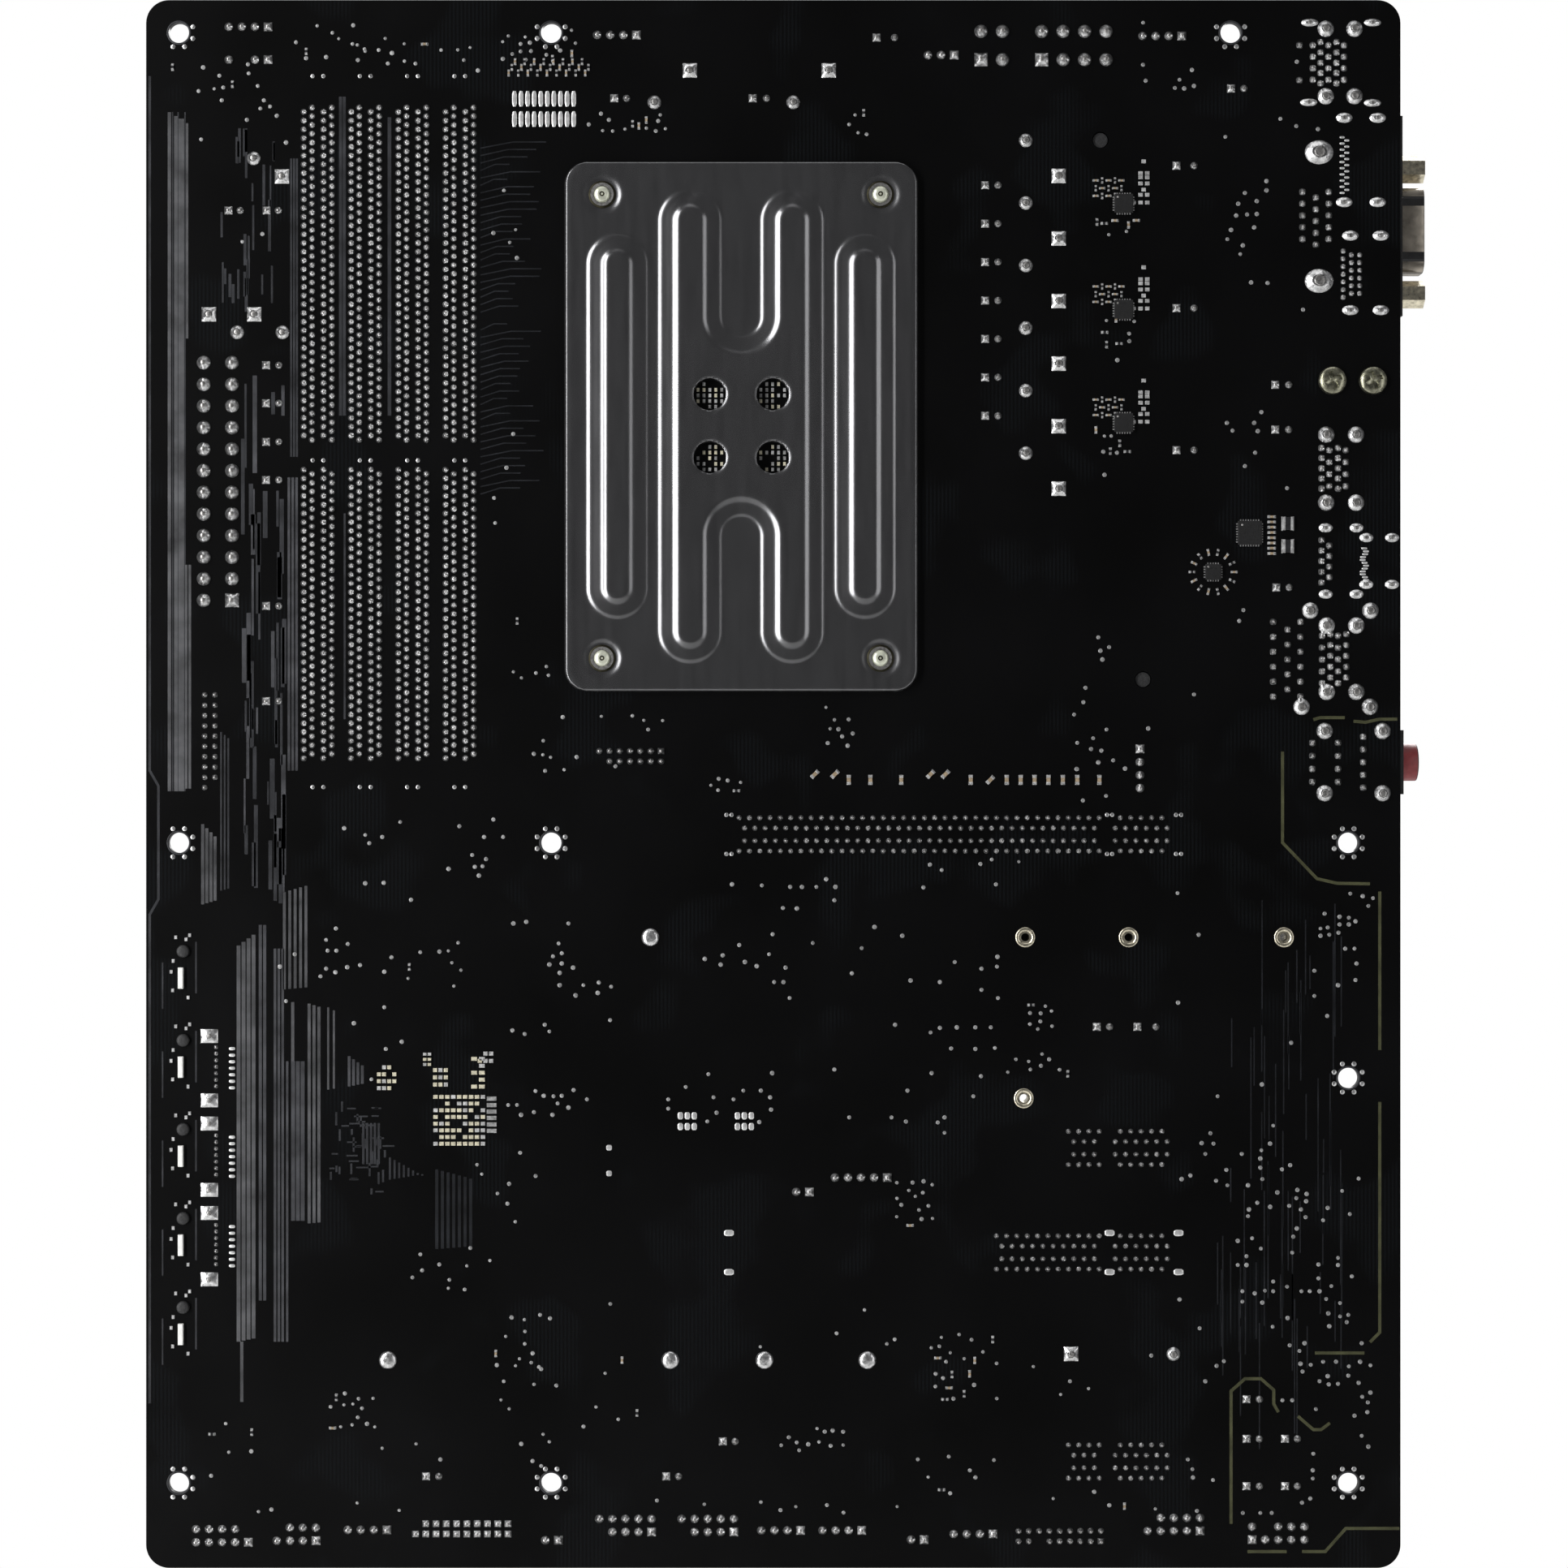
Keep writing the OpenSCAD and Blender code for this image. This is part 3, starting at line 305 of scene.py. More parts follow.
# painted shade: dark discs stand in for the socket cover's holes, as dark as their depth would look
HOLE_PAINTED_SHADE = metal("contact_hole", (0.03, 0.028, 0.02), rough=0.5, metal=0.3, shade=0.2, bump=0)
small = finishes(rough=0.5, grain=1800, shade=0.15)
CERAMIC = small("capacitor_ceramic", (0.34, 0.26, 0.17))
CREAM = small("capacitor_cream", (0.62, 0.58, 0.44), rough=0.45, grain=1500)
RESISTOR = small("resistor_glaze", (0.02, 0.02, 0.022), rough=0.3, grain=1200, shade=0.2)
CHIP = small("moulded_epoxy", (0.02, 0.02, 0.021), rough=0.55, grain=2200, shade=0.2, bump=0.25)
CHIP_DARK = small("dark_epoxy", (0.007, 0.007, 0.0075), grain=2200, shade=0.2, bump=0.2)
FERRITE = small("pressed_powder", (0.07, 0.07, 0.073), rough=0.65, grain=1600, shade=0.25, bump=0.4)
LENS = small("lamp_lens", (0.93, 0.93, 0.9), rough=0.35, grain=700, shade=0.05, bump=0.1)
FILM = small("black_film", (0.012, 0.012, 0.012), grain=600, shade=0.2)
plastic = finishes(rough=0.5, grain=1400)
BLACK = plastic("black_nylon", (0.022, 0.022, 0.023), shade=0.15, bump=0.2)
GREY = plastic("grey_nylon", (0.11, 0.11, 0.118), bump=0.2)
IVORY = plastic("ivory_nylon", (0.72, 0.7, 0.62), shade=0.06)
barrel = finishes(rough=0.45, grain=900, shade=0.1)
PINK = barrel("pink_barrel", (0.36, 0.055, 0.06))
LIME = barrel("lime_barrel", (0.16, 0.36, 0.1))
BLUE = barrel("blue_insert", (0.03, 0.13, 0.42))
VIOLET = barrel("violet_insert", (0.14, 0.06, 0.26))


def dress(node, material, bevel=0.0):
    """Gives a CAD node its material and, where asked, a small rounding of its edges."""
    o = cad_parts[node]
    if not o.material_slots:
        o.data.materials.append(material)
    for s in o.material_slots:
        s.material = material
    if bevel:
        weld = o.modifiers.new("weld", "WELD")
        weld.merge_threshold = 0.002 * MM
        edge = o.modifiers.new("edge", "BEVEL")
        edge.width = bevel * MM
        edge.segments = 2
        edge.limit_method = "ANGLE"
        edge.angle_limit = math.radians(40)
        edge.use_clamp_overlap = True


# ---------------------------------------------------------------- solder side: joints

# profiles, as shares of the radius and the height
JOINT = [(1.0, 0.0), (0.97, 0.1), (0.8, 0.34), (0.56, 0.66), (0.4, 0.82)]
FLAT_PAD = [(1.0, 0.0), (0.96, 0.7), (0.8, 1.0)]


def joint(batch, bx, bz, r, height=0.9, square=0.0, stretch=(1, 1), pin=0.3, sides=16, jitter=0.0):
    """Solder round a clipped pin: a fillet that rises from the pad to the pin's blunt tip.
    pin is the tip's radius, and jitter how much the height varies from joint to joint."""
    h = height * (1 + jitter * (rnd.random() - 0.5))
    profile = [(r * a, h * b) for a, b in JOINT]
    profile.append((max(pin, 0.3 * r), h * 0.86))
    batch.turned(bx, bz, profile, square=square, stretch=stretch, sides=sides, slot=0)
    if pin:
        batch.turned(bx, bz, [(pin, h * 0.8), (pin, h * 1.02), (pin * 0.8, h * 1.08)], sides=8, slot=1)


def pad(batch, bx, bz, r, height=0.08, square=0.0, stretch=(1, 1), sides=12, slot=0, side=SOLDER, base=0.0):
    """A low tinned pad or test point."""
    batch.turned(bx, bz, [(r * a, height * b) for a, b in FLAT_PAD], square=square, stretch=stretch,
                 sides=sides, slot=slot, side=side, base=base)


rnd = random.Random(7)     # every joint and test point draws from it, in order
HEADERS = [   # first pin, columns, rows, pitch, left out (column, row), square pad (column, row)
    (9.7, 5, 5, 2, 2.54, (4, 1), (4, 0)), (25.4, 5.3, 4, 2, 2.54, (0, 1), (3, 0)),
    (77.6, 5.4, 2, 1, 2.54, None, (1, 0)), (88.1, 7, 5, 2, 2.54, (0, 0), (4, 0)),
    (104.1, 7, 5, 2, 2.54, (0, 0), (4, 0)), (148.7, 5.5, 2, 1, 2.54, None, (1, 0)),
    (157, 6.6, 4, 1, 2.54, None, (3, 0)), (169.6, 5.2, 9, 2, 2, (2, 0), (8, 0)),
    (194.7, 7.2, 5, 2, 2.54, (0, 1), (4, 0)), (215, 5.5, 5, 2, 2.54, (1, 1), (0, 0)),
    (16.1, 293.2, 4, 1, 2.54, (1, 0), (3, 0)), (88.1, 156.8, 7, 2, 2, (0, 0), (6, 1)),
    (133.9, 75.9, 5, 1, 2.54, None, (4, 0)), (126.4, 73.1, 2, 1, 2.54, None, (1, 0)),
    (152, 294.1, 3, 1, 2.54, None, (2, 0)), (87.7, 298, 4, 1, 2.54, None, (3, 0)),
    (193.7, 297.8, 4, 1, 2.54, None, (3, 0)), (16.1, 299.6, 4, 1, 2.54, None, (3, 0)),
    (39.2, 7.4, 4, 1, 2.54, None, (3, 0)), (119.6, 7.3, 4, 1, 2.54, None, (3, 0)),
    (131.5, 7.3, 4, 1, 2.54, None, (3, 0)), (193.2, 151.6, 1, 4, 2.54, None, (0, 3)),
]


def header_joints():
    """The pin headers, the wide one by the lower edge and the USB one by the left edge."""
    b = Batch()
    for bx, bz, columns, rows, pitch, gap, first in HEADERS:
        r = 0.86 if pitch > 2.2 else 0.62
        for i, j in grid(0, 0, columns, rows, 1):
            if (i, j) != gap:
                joint(b, bx + i * pitch, bz + j * pitch, r, 0.95, square=float((i, j) == first), jitter=0.25)
    for k, j in grid(0, 0, 10, 2, 1):
        if k or j == 0:
            joint(b, 52.35 + 2 * k, 6.6 + 2 * j, 0.68, 0.7, square=0.85, pin=0.24)
            joint(b, 11.4 + 2 * j, 151.7 + 2 * k, 0.55, 0.7, square=0.2, pin=0.24)
    b.make("header_joints", [SOLDER_TIN, PIN_TIP], slot="solder", replaces=["solder_joints"])


def power_joints():
    """The 24-pin connector at the left edge, and the 8-pin and 4-pin ones at the top."""
    b = Batch()
    for bx, bz, columns, rows, dx, dz, r, h, first in ((11.2, 188.1, 2, 12, 5.5, 4.2, 1.35, 1.3, (1, 0)),
                                                       (174.1, 293.2, 4, 2, 4.17, 5.5, 1.3, 1.2, (0, 0)),
                                                       (162.3, 293.2, 2, 2, 4.17, 5.5, 1.3, 1.2, (0, 0))):
        for i, j in grid(0, 0, columns, rows, 1):
            joint(b, bx + dx * i, bz + dz * j, r, h, square=float((i, j) == first), pin=0.5, sides=24,
                  jitter=0.2)
    b.make("power_joints", [SOLDER_TIN, PIN_TIP], slot="solder")


# each capacitor's two pins, as from x, to x and z; then each choke's round and square pad
CAP_PAIRS = [(163.1, 165.6, 268.8 - 7.47 * k) for k in range(7)]
CAP_PAIRS += [(23.3, 25.8, z) for z in (233.8, 226.4, 218.9, 211.5, 187, 168.5)]
CAP_PAIRS += [(200.3, 203.7, z) for z in (272.6, 244.9, 217.3)]
CAP_PAIRS += [(213.9, 216.4, z) for z in (32.8, 25.1, 15.9)] + [(221.4, 223.8, z) for z in (25.1, 15.9)]
CAP_PAIRS += [(16, 18.3, 263.9), (23.4, 25.7, 263.9), (91, 93.4, 285.7), (117.9, 120.6, 285.7),
              (142, 145.5, 297.5), (210.9, 213.4, 287.6), (219.5, 222.1, 230), (219.5, 222.1, 221.3),
              (219.7, 222.2, 190.6), (112.1, 114.5, 24.6), (101.1, 103.5, 17.8), (54.4, 56.9, 17.8),
              (184.8, 187.3, 105.2), (192.7, 196.3, 105.2)]
CHOKE_ROUND = [(171, 277.5 - 12.16 * k) for k in range(6)]
CHOKE_ROUND += [(98.8, 284.9), (125.8, 284.9), (20.9, 274), (17.7, 240.2), (26.5, 240.2), (199.7, 41.6)]
CHOKE_SQUARE = [(177.4, 270.6 - 12.16 * k) for k in range(6)]
CHOKE_SQUARE += [(105.7, 291.1), (132.7, 291.1), (26.4, 270.5), (12.2, 243.7), (21, 243.7), (179.8, 41.6)]


def regulator_joints():
    """The capacitors' and chokes' pins: one of each pair stands on a square pad."""
    b = Batch()
    for x0, x1, z in CAP_PAIRS:
        joint(b, x0, z, 0.78, 0.7, square=1.0, pin=0.3)
        joint(b, x1, z, 0.72, 0.7, pin=0.3)
    for x, z in CHOKE_ROUND:
        joint(b, x, z, 1.35, 0.9, pin=0.6, sides=24)
    for x, z in CHOKE_SQUARE:
        joint(b, x, z, 1.4, 0.8, square=1.0, pin=0.6, sides=24)
    b.make("regulator_joints", [SOLDER_TIN, PIN_TIP], slot="solder")


def memory_joints():
    """Four slots; the pins stand in four staggered columns, in two blocks either side of the key."""
    for s in range(4):
        b = Batch()
        x = 30.66 + 9.19 * s
        for column, dx in enumerate((0, 1.6, 3.83, 5.46)):
            for z0, count in ((283.9, 39), (212.65, 33)) if column % 2 else ((283.05, 38), (213.5, 34)):
                for k in range(count):
                    joint(b, x + dx, z0 - 1.7 * k, 0.62, 0.75, pin=0.2, sides=12, jitter=0.3)
        for z in (290, 215.3, 151.8):
            for dx in (1.7, 3.8):
                pad(b, x + dx, z, 0.42)
        b.make(f"memory_joints_{s + 1}", [SOLDER_TIN, PIN_TIP], slot="solder")


SLOT_TOP, SLOT_PITCH = 142.6, 20.32


def slot_joints():
    """Each expansion slot has four staggered rows of pins, and pads for the pegs of its housing."""
    for n, wired in ((0, 36), (3, 4), (4, 11), (6, 4)):
        b = Batch()
        z = SLOT_TOP - SLOT_PITCH * n
        for offset, short_x, short_count, long_x, long_count in ((3.23, 189.4, 5, 185.3, wired),
                                                                 (1.23, 188.4, 6, 184.35, wired - 1)):
            row = [short_x + 2.02 * k for k in range(short_count)]
            row += [long_x - 2.0 * k for k in range(long_count)]
            for dz in (-offset, offset):
                for x in row:
                    joint(b, x, z + dz, 0.52, 0.6, pin=0.2, sides=12, jitter=0.3)
        for x, dz in ((x, dz) for x in (113.3, 187.3, 200.7) for dz in (-3.8, 3.8)):
            if n == 4:
                pad(b, x, z + dz, 1, 0.1, square=1, stretch=(0.95, 0.6), slot=2)
            elif n == 0:
                for dx in (-0.5, 0.5):
                    pad(b, x + dx, z + dz, 0.4, 0.1, square=0.5)
        b.make(f"slot_joints_{n}", [SOLDER_TIN, PIN_TIP, BRIGHT_TIN], slot="solder")


def port_joints():
    """The rear ports by the right edge, first their tabs and then their pins, and the SATA ports by the
    left one."""
    b = Batch()
    tabs = grid(229.3, 286.1, 2, 2, 5.6, 13.1) + grid(229.4, 207.1, 2, 2, 5.8, 13.2)
    tabs += grid(229.5, 170.3, 2, 2, 5.75, 12.9) + grid(229.1, 150.6, 2, 2, 11.25, 12.1)
    tabs += [(226.3, 186.1), (238, 186.1), (224.6, 167.4), (237.9, 167.4)]
    for x, z in tabs:
        joint(b, x, z, 1.62, 1.0, pin=0.75, sides=24, jitter=0.3)
    for x, z in grid(232.9, 265.5, 2, 2, 6.5, 16.4) + grid(234.1, 244.5, 2, 2, 5.9, 14.5):
        joint(b, x, z, 1.35, 0.6, stretch=(1.2, 0.74), pin=0.45, sides=24)
    for x, z in [(226.2, 300.4), (238.4, 300.4), (238.4, 284.8), (226, 284.9)]:
        joint(b, x, z, 1.3, 0.6, stretch=(1.3, 0.6), pin=0.4, sides=24)
    for x, z in grid(229.3, 189.3, 2, 2, 6, 12.9) + grid(237.2, 191.2, 2, 2, 5, 9.1):
        joint(b, x, z, 1.2, 0.5, stretch=(1.15, 0.75), pin=0.4, sides=24)
    for z in (275.2, 250.2):
        joint(b, 228, z, 2.6, 1.2, stretch=(1.08, 0.9), pin=1.1, sides=32)
    pins = grid(226.8, 289.3, 3, 4, 3.03, 2.23) + grid(228.3, 288.6, 2, 5, 3.1, 2)
    pins += [(224.2, 296), (224.2, 289.2)]
    pins += grid(224.8, 258.34, 2, 5, 5.1, 2.29) + grid(227.4, 257.24, 1, 5, 0, 2.29)
    pins += grid(228.5, 209.8, 2, 5, 3.2, 1.98) + grid(230, 210.3, 2, 4, 3.2, 2.33)
    pins += grid(228.5, 191.6, 1, 5, 0, 2.05) + grid(230, 192.6, 1, 4, 0, 2.05)
    pins += grid(219.1, 169.4, 1, 6, 0, 2.9) + grid(221.9, 170.8, 1, 5, 0, 2.9)
    pins += grid(224.4, 169.4, 1, 6, 0, 2.9)
    pins += grid(228.6, 172, 2, 5, 3.1, 2.3) + grid(230.2, 173.1, 2, 5, 3.1, 2.1)
    pins += grid(226.7, 152.8, 2, 4, 5, 2.53) + grid(236.6, 151.7, 1, 5, 0, 2.47)
    for x, z in pins:
        joint(b, x, z, 0.66, 0.8, pin=0.25, jitter=0.3, square=0.3)
    for x, z in grid(232.7, 247, 1, 7, 0, 1.5) + grid(234.3, 247.75, 2, 6, 1.6, 1.5):
        joint(b, x, z, 0.5, 0.5, pin=0.2, square=0.5, sides=12)
    for k in range(19):
        pad(b, 232.5 + 0.9 * (k % 2), 278.1 - 0.6 * k, 0.3, 0.06, square=1, stretch=(1.6, 0.7), slot=2)
    for k in range(12):
        pad(b, 236.8 + 0.35 * math.sin(k * 1.3), 198.2 - 0.56 * k, 0.28, 0.06, square=1, stretch=(2, 0.7),
            slot=2)
    for z0, z1 in ((103.4, 90.9), (86.4, 73.5), (69, 56.1)):
        for z in (z0, z1):
            joint(b, 12.3, z, 1.55, 0.5, square=1.0, stretch=(1.08, 0.86), pin=0.5, sides=16)
        for k in range(7):
            z = (z0 + z1) / 2 + 1.27 * (k - 3)
            joint(b, 13.6, z + 0.3, 0.42, 0.5, pin=0.2, sides=12, square=0.5)
            pad(b, 16.7, z, 0.4, 0.12, square=1, stretch=(1.5, 0.75), slot=2)
    b.make("port_joints", [SOLDER_TIN, PIN_TIP, BRIGHT_TIN], slot="solder")


def plated_holes():
    """Rings of the open standoffs, domes of the closed ones, and a ring with tinned dots round each
    mounting hole; there are no dots close to the board's edge."""
    edge_clear = 3.7
    b = Batch()
    for x, z in [(170.9, 122.6), (191, 122.6), (221.2, 122.6), (170.6, 91.3)]:
        b.turned(x, z, [(1.95, 0), (1.9, 0.12), (1.65, 0.16), (1.25, 0.1), (1.0, -0.4)], slot=0, sides=32,
                 open_top=True)
    for x, z in [(98, 122.6), (47, 40.4), (101.9, 40.4), (120.2, 40.4), (140.2, 40.4)]:
        b.turned(x, z, [(1.75, 0), (1.7, 0.2), (1.4, 0.5), (0.9, 0.66), (0.4, 0.7)], slot=1, sides=32)
    for x, z in HOLES:
        b.turned(x, z, [(2.35, 0), (2.3, 0.04), (2.0, 0.04), (1.98, 0.0)], slot=2, sides=48, open_top=True)
        for k in range(8):
            a = math.radians(22.5 + 45 * k)
            px, pz = x + 2.95 * math.cos(a), z + 2.95 * math.sin(a)
            if min(px, BOARD_W - px, pz, BOARD_H - pz) > edge_clear:
                pad(b, px, pz, 0.48, 0.1, sides=12, slot=1)
    b.make("plated_holes", [GOLD_PLATE, SOLDER_TIN, TRACE_PAINTED_SHEEN_DIM], slot="solder")


# ---------------------------------------------------------------- solder side: small parts

HOLE_CLEAR = 3.6     # nothing random stands nearer to a mounting hole's axis
ENDS, CREAM_SLOT, POINT_SLOT, BRIGHT_SLOT = 2, 3, 4, 5     # material slots of the small parts


def passive(b, bx, bz, w=1.0, h=0.5, t=0.35, angle=0.0, body=0, side=SOLDER):
    """A chip capacitor or resistor: a body between two tinned ends with their solder. w lies along it."""
    end, y = w * 0.24, lift(0) if side == PARTS else 0.0
    c, s = math.cos(angle), math.sin(angle)
    b.block(bx, bz, w - 2 * end, h * 0.94, y, y + side * t, slot=body, angle=angle, chamfer=0.04)
    for k in (-1, 1):
        d = k * (w / 2 - end / 2)
        b.block(bx + d * c, bz + d * s, end, h, y, y + side * t * 1.04, slot=ENDS, angle=angle, chamfer=0.06)
        d = k * (w / 2 + 0.1)
        b.block(bx + d * c, bz + d * s, 0.22, h * 1.06, y, y + side * t * 0.45, slot=ENDS, angle=angle,
                chamfer=0.1)


def scatter(b, bx, bz, w, h, count, size=(1.0, 0.5), seed=0, spread=1.5, side=SOLDER, parts=0.35):
    """Small parts and test points over a patch of the board, none closer than spread; parts is the
    share of small parts."""
    r = random.Random(seed)
    placed, tries = [], 0
    while len(placed) < count and tries < count * 30:
        tries += 1
        x, z = bx + (r.random() - 0.5) * w, bz + (r.random() - 0.5) * h
        clear = all(math.hypot(x - p[0], z - p[1]) > spread for p in placed)
        if clear and all(math.hypot(x - p[0], z - p[1]) > HOLE_CLEAR for p in HOLES):
            placed.append((x, z))
            if r.random() < parts:
                passive(b, x, z, *size, angle=r.choice((0, math.pi / 2)), body=r.choice((0, 1)), side=side)
            else:
                pad(b, x, z, 0.3 + 0.14 * r.random(), 0.06, slot=POINT_SLOT, sides=10, side=side,
                    base=lift(0) if side == PARTS else 0.0)


POINTS = [   # test points and vias, in groups
    # under the first long slot
    (113.9, 132.9), (119.7, 132.7), (125.2, 132.4), (127.5, 132.4), (130.3, 132.4), (132.2, 133.9),
    (134, 132.4), (133.8, 129.8), (123.8, 128.3), (126.5, 128.2), (151.1, 132.3), (165.2, 132.9),
    # between the hole in the middle and the M.2 rings
    (71.4, 125.3), (73.9, 125.6), (82.1, 125.3), (80.2, 121.4), (79.1, 118.9), (80.8, 119.5), (78.4, 117.3),
    (80.8, 117.5), (83, 116.7), (80.4, 115.7), (80.4, 113.3), (85, 113.3), (88, 113.8), (87.8, 111.8),
    (83.5, 111.3), (90.4, 113), (90.2, 106.5), (71.2, 104.5), (73.6, 103.8), (77.5, 105.6), (78.4, 104.3),
    (121.8, 123.2), (115.3, 121.1), (129.6, 121.5), (139.1, 120.5), (141.6, 124.6), (147, 122.9),
    (108.6, 118.4), (112.1, 119.1), (111.7, 117.3), (116.4, 117.8), (118.7, 117), (121.1, 119.3),
    (124.3, 116.7), (122.1, 113.9), (123.9, 113.9), (125.1, 110.8), (137.2, 115.6), (148.6, 114.2),
    (154.3, 113.9), (157.2, 117.8), (162.4, 116.5), (162.4, 112.4), (165.5, 118.8), (165.4, 116.9),
    (165.6, 110.8), (145.6, 105.6), (152.5, 104.1), (154.3, 105), (157.6, 105.1), (161.2, 105.1),
    (164.2, 105.1), (156.5, 101), (161.2, 100.9), (165, 101.1),
    # round the two small pad groups
    (109.3, 96), (104.9, 93.5), (101.5, 91.1), (101.5, 89.3), (110.3, 91.5), (114.2, 91.1), (116.1, 92.8),
    (119.5, 92.8), (121.7, 96.2), (121.3, 91.5), (121.5, 89.1), (110.9, 88.5), (109.1, 86.8), (119.2, 86.7),
    (133.8, 96.9), (152.7, 96.2), (148, 92.8), (162.3, 95.6), (160.8, 91.7), (136.7, 87.6), (144.9, 87.6),
    (147.7, 86.8), (153.9, 86.6), (155.2, 87.6), (155.2, 84.6), (75.7, 92.7), (77.3, 91.8), (79.2, 91.7),
    (80.8, 91.8), (83.1, 92.9), (80, 90.3), (82.1, 89.5), (85.7, 91.1), (79, 88.1), (70.4, 90), (72.1, 90),
    (72.9, 88.1), (75.4, 88.6),
    # upper right: by the corner, the regulator and the rear ports
    (193.8, 300.4), (193.8, 292.2), (194.3, 289.1), (203.3, 291.2), (200.9, 289.3), (200, 287.7),
    (201.8, 287.6), (203.7, 288.1), (209.8, 278.2), (220.5, 281.7), (223.6, 280.3), (227.8, 279.7),
    (223.7, 292.8), (217.8, 269.6), (217.8, 267.8), (213.6, 267.3), (215.9, 265.7), (212.3, 265.2),
    (211.9, 262.9), (214, 263.1), (215.9, 263.2), (215.4, 260.6), (210.9, 260.1), (210.2, 258.3),
    (213.2, 257.1), (212.7, 255.4), (214.8, 249.9), (218, 249.8), (224.9, 244.6), (188.8, 234.8),
    (210.1, 222.6), (211.2, 221.1), (215.4, 222.6), (216.1, 221), (216.8, 224.7), (215.6, 216.8),
    (213.6, 214.2), (221.8, 209.9), (186.3, 212.5), (203.7, 169.8), (213.3, 186.2), (212.5, 184.1),
    (185.1, 180.9), (187.2, 179), (185.5, 178.3), (185.9, 176.6), (182.6, 171.1), (182.2, 168.3),
    (180.4, 165.9), (181, 160.4), (184.1, 161.3), (183.7, 159.2), (185.7, 158.9), (186.7, 163),
    (185.1, 156.6), (188, 157), (190.3, 155.4), (194.8, 163.2), (180.9, 155.3), (186.6, 150.1),
    (182.1, 149.2),
    # left side: round the tracks, then by the upper left corner
    (38.5, 143.8), (49.4, 145), (42.6, 142.5), (45.9, 142.1), (43.4, 140.9), (42.6, 133.1), (46.2, 133.2),
    (51.5, 129.9), (58.8, 135.9), (60.9, 144.2), (67.5, 145.5), (65.7, 142.1), (69.4, 142.1), (63.4, 138.6),
    (66.1, 137.8), (65.4, 136.4), (64.7, 134.6), (63.9, 136.3), (36.9, 124.3), (35, 122.1), (39.2, 121.3),
    (35.3, 120), (37, 120), (35, 116.5), (36.8, 115.8), (39.1, 116.8), (41.6, 117.2), (33.9, 115),
    (28.9, 119.3), (26, 116.9), (27.2, 110.2), (47.7, 118.7), (46.3, 115.9), (53.3, 119.7), (46.3, 109),
    (40.4, 105.9), (49.7, 102.3), (46.6, 100.9), (43.8, 95), (11.1, 291.7), (31.1, 293.5), (35, 293.7),
    (47.8, 294.5), (64.5, 291.1), (15, 287.8), (21.7, 288.1), (10.2, 287.1), (14.7, 285.3), (22.9, 285.3),
    (24.1, 284.1), (22.2, 283.7), (25.4, 282.3), (19.6, 281.5), (10.7, 277.7), (27.2, 277.1), (22.6, 259.3),
    (18.7, 257.8),
    # right edge and the lower right corner
    (229.1, 127.2), (232, 126.6), (233.8, 126.4), (235.1, 125.7), (228.3, 124.3), (229.7, 124.5),
    (233.8, 125.1), (232, 125.1), (228.3, 122.9), (230, 123.1), (231.8, 123.5), (233.1, 120.4),
    (234.9, 120.4), (235.3, 117.5), (235.1, 114.3), (231.7, 113.3), (229.6, 107.3), (227.1, 116.1),
    (227.1, 111.2), (234.1, 131.1), (236.5, 130.6), (237.6, 128.7), (238.5, 130.2), (200.5, 131.2),
    (204.6, 123.1), (200.6, 109.9), (222.6, 102.1), (216.9, 94), (208.3, 91.7), (219.1, 86), (218.5, 82.5),
    (206.9, 84.5), (205.2, 82.6), (207.5, 82.5), (205.9, 80.5), (213, 80.5), (216.8, 81.2), (216.6, 79.6),
    (216.6, 77.8), (217, 75.6), (210, 77.4), (208, 75.3), (210.2, 74.4), (214.2, 74.4), (203, 76.3),
    (201.3, 75.6), (220.8, 77.5), (222.4, 78.3), (235.7, 75.7), (232.5, 73.3), (219.9, 73), (223.8, 73.5),
    (223.6, 71.9), (225.6, 72.7), (225.5, 71.3), (222.2, 70.4), (224.5, 69.7), (218.5, 70.2), (216, 71),
    (214.4, 69.7), (214.2, 68.4), (225.4, 68.2), (229.7, 70), (234, 68.8), (228.8, 67.6), (223.7, 66),
    (223, 64.4), (212.2, 63.6), (215, 64.1), (216.7, 62.1), (213.9, 60.6), (212.2, 58.9), (213.9, 58.9),
    (222.8, 61.3), (227.9, 59), (231.7, 60.3), (231.7, 58.9), (234.4, 56.7), (227.9, 56.3), (230.4, 54.8),
    (229.4, 52.3), (228.1, 53.8), (226.2, 53.8), (224.6, 53.8), (221.8, 54.7), (219.1, 55.7), (219.1, 53.8),
    (217.5, 53.9), (215.5, 53.4), (213.1, 53.8), (213.1, 51.8), (217, 51.6), (232.1, 51.5), (233.7, 49.2),
    (229.8, 49.5), (232.1, 48.9), (233.4, 47.8), (230, 47), (221.9, 48.6), (219, 46.9), (204.8, 46.6),
    (200.9, 52.2), (222.3, 43.3), (225.2, 43.7), (224.2, 42.2), (224.4, 39.7), (224.8, 38.2), (226.4, 39.5),
    (208.1, 39.3), (209.5, 40.2), (205.9, 36.3), (228.1, 36.3), (229.7, 37.3), (229.9, 35.7), (231.7, 35.8),
    (228.8, 40.1), (231.3, 40.1), (233.8, 39.2), (236, 40.1), (238, 39.4), (233.7, 37.4), (235.7, 36),
    (236.4, 33.3), (238, 34.1), (237.5, 32.2), (237.4, 30.3), (234.9, 29.6), (220.9, 32.6), (222.8, 32.6),
    (227.4, 30.9), (236.3, 25.7), (237.6, 23.6), (226.9, 22.2), (226.8, 19), (226.8, 17.4), (226.3, 13.5),
    (224.7, 12.7), (236.3, 43.7), (213.2, 10.7), (216.6, 10.7), (218.8, 10.7), (202.5, 21.1), (203.4, 19.2),
    (203.5, 17.6), (207.4, 17.1), (195.4, 41.3),
]


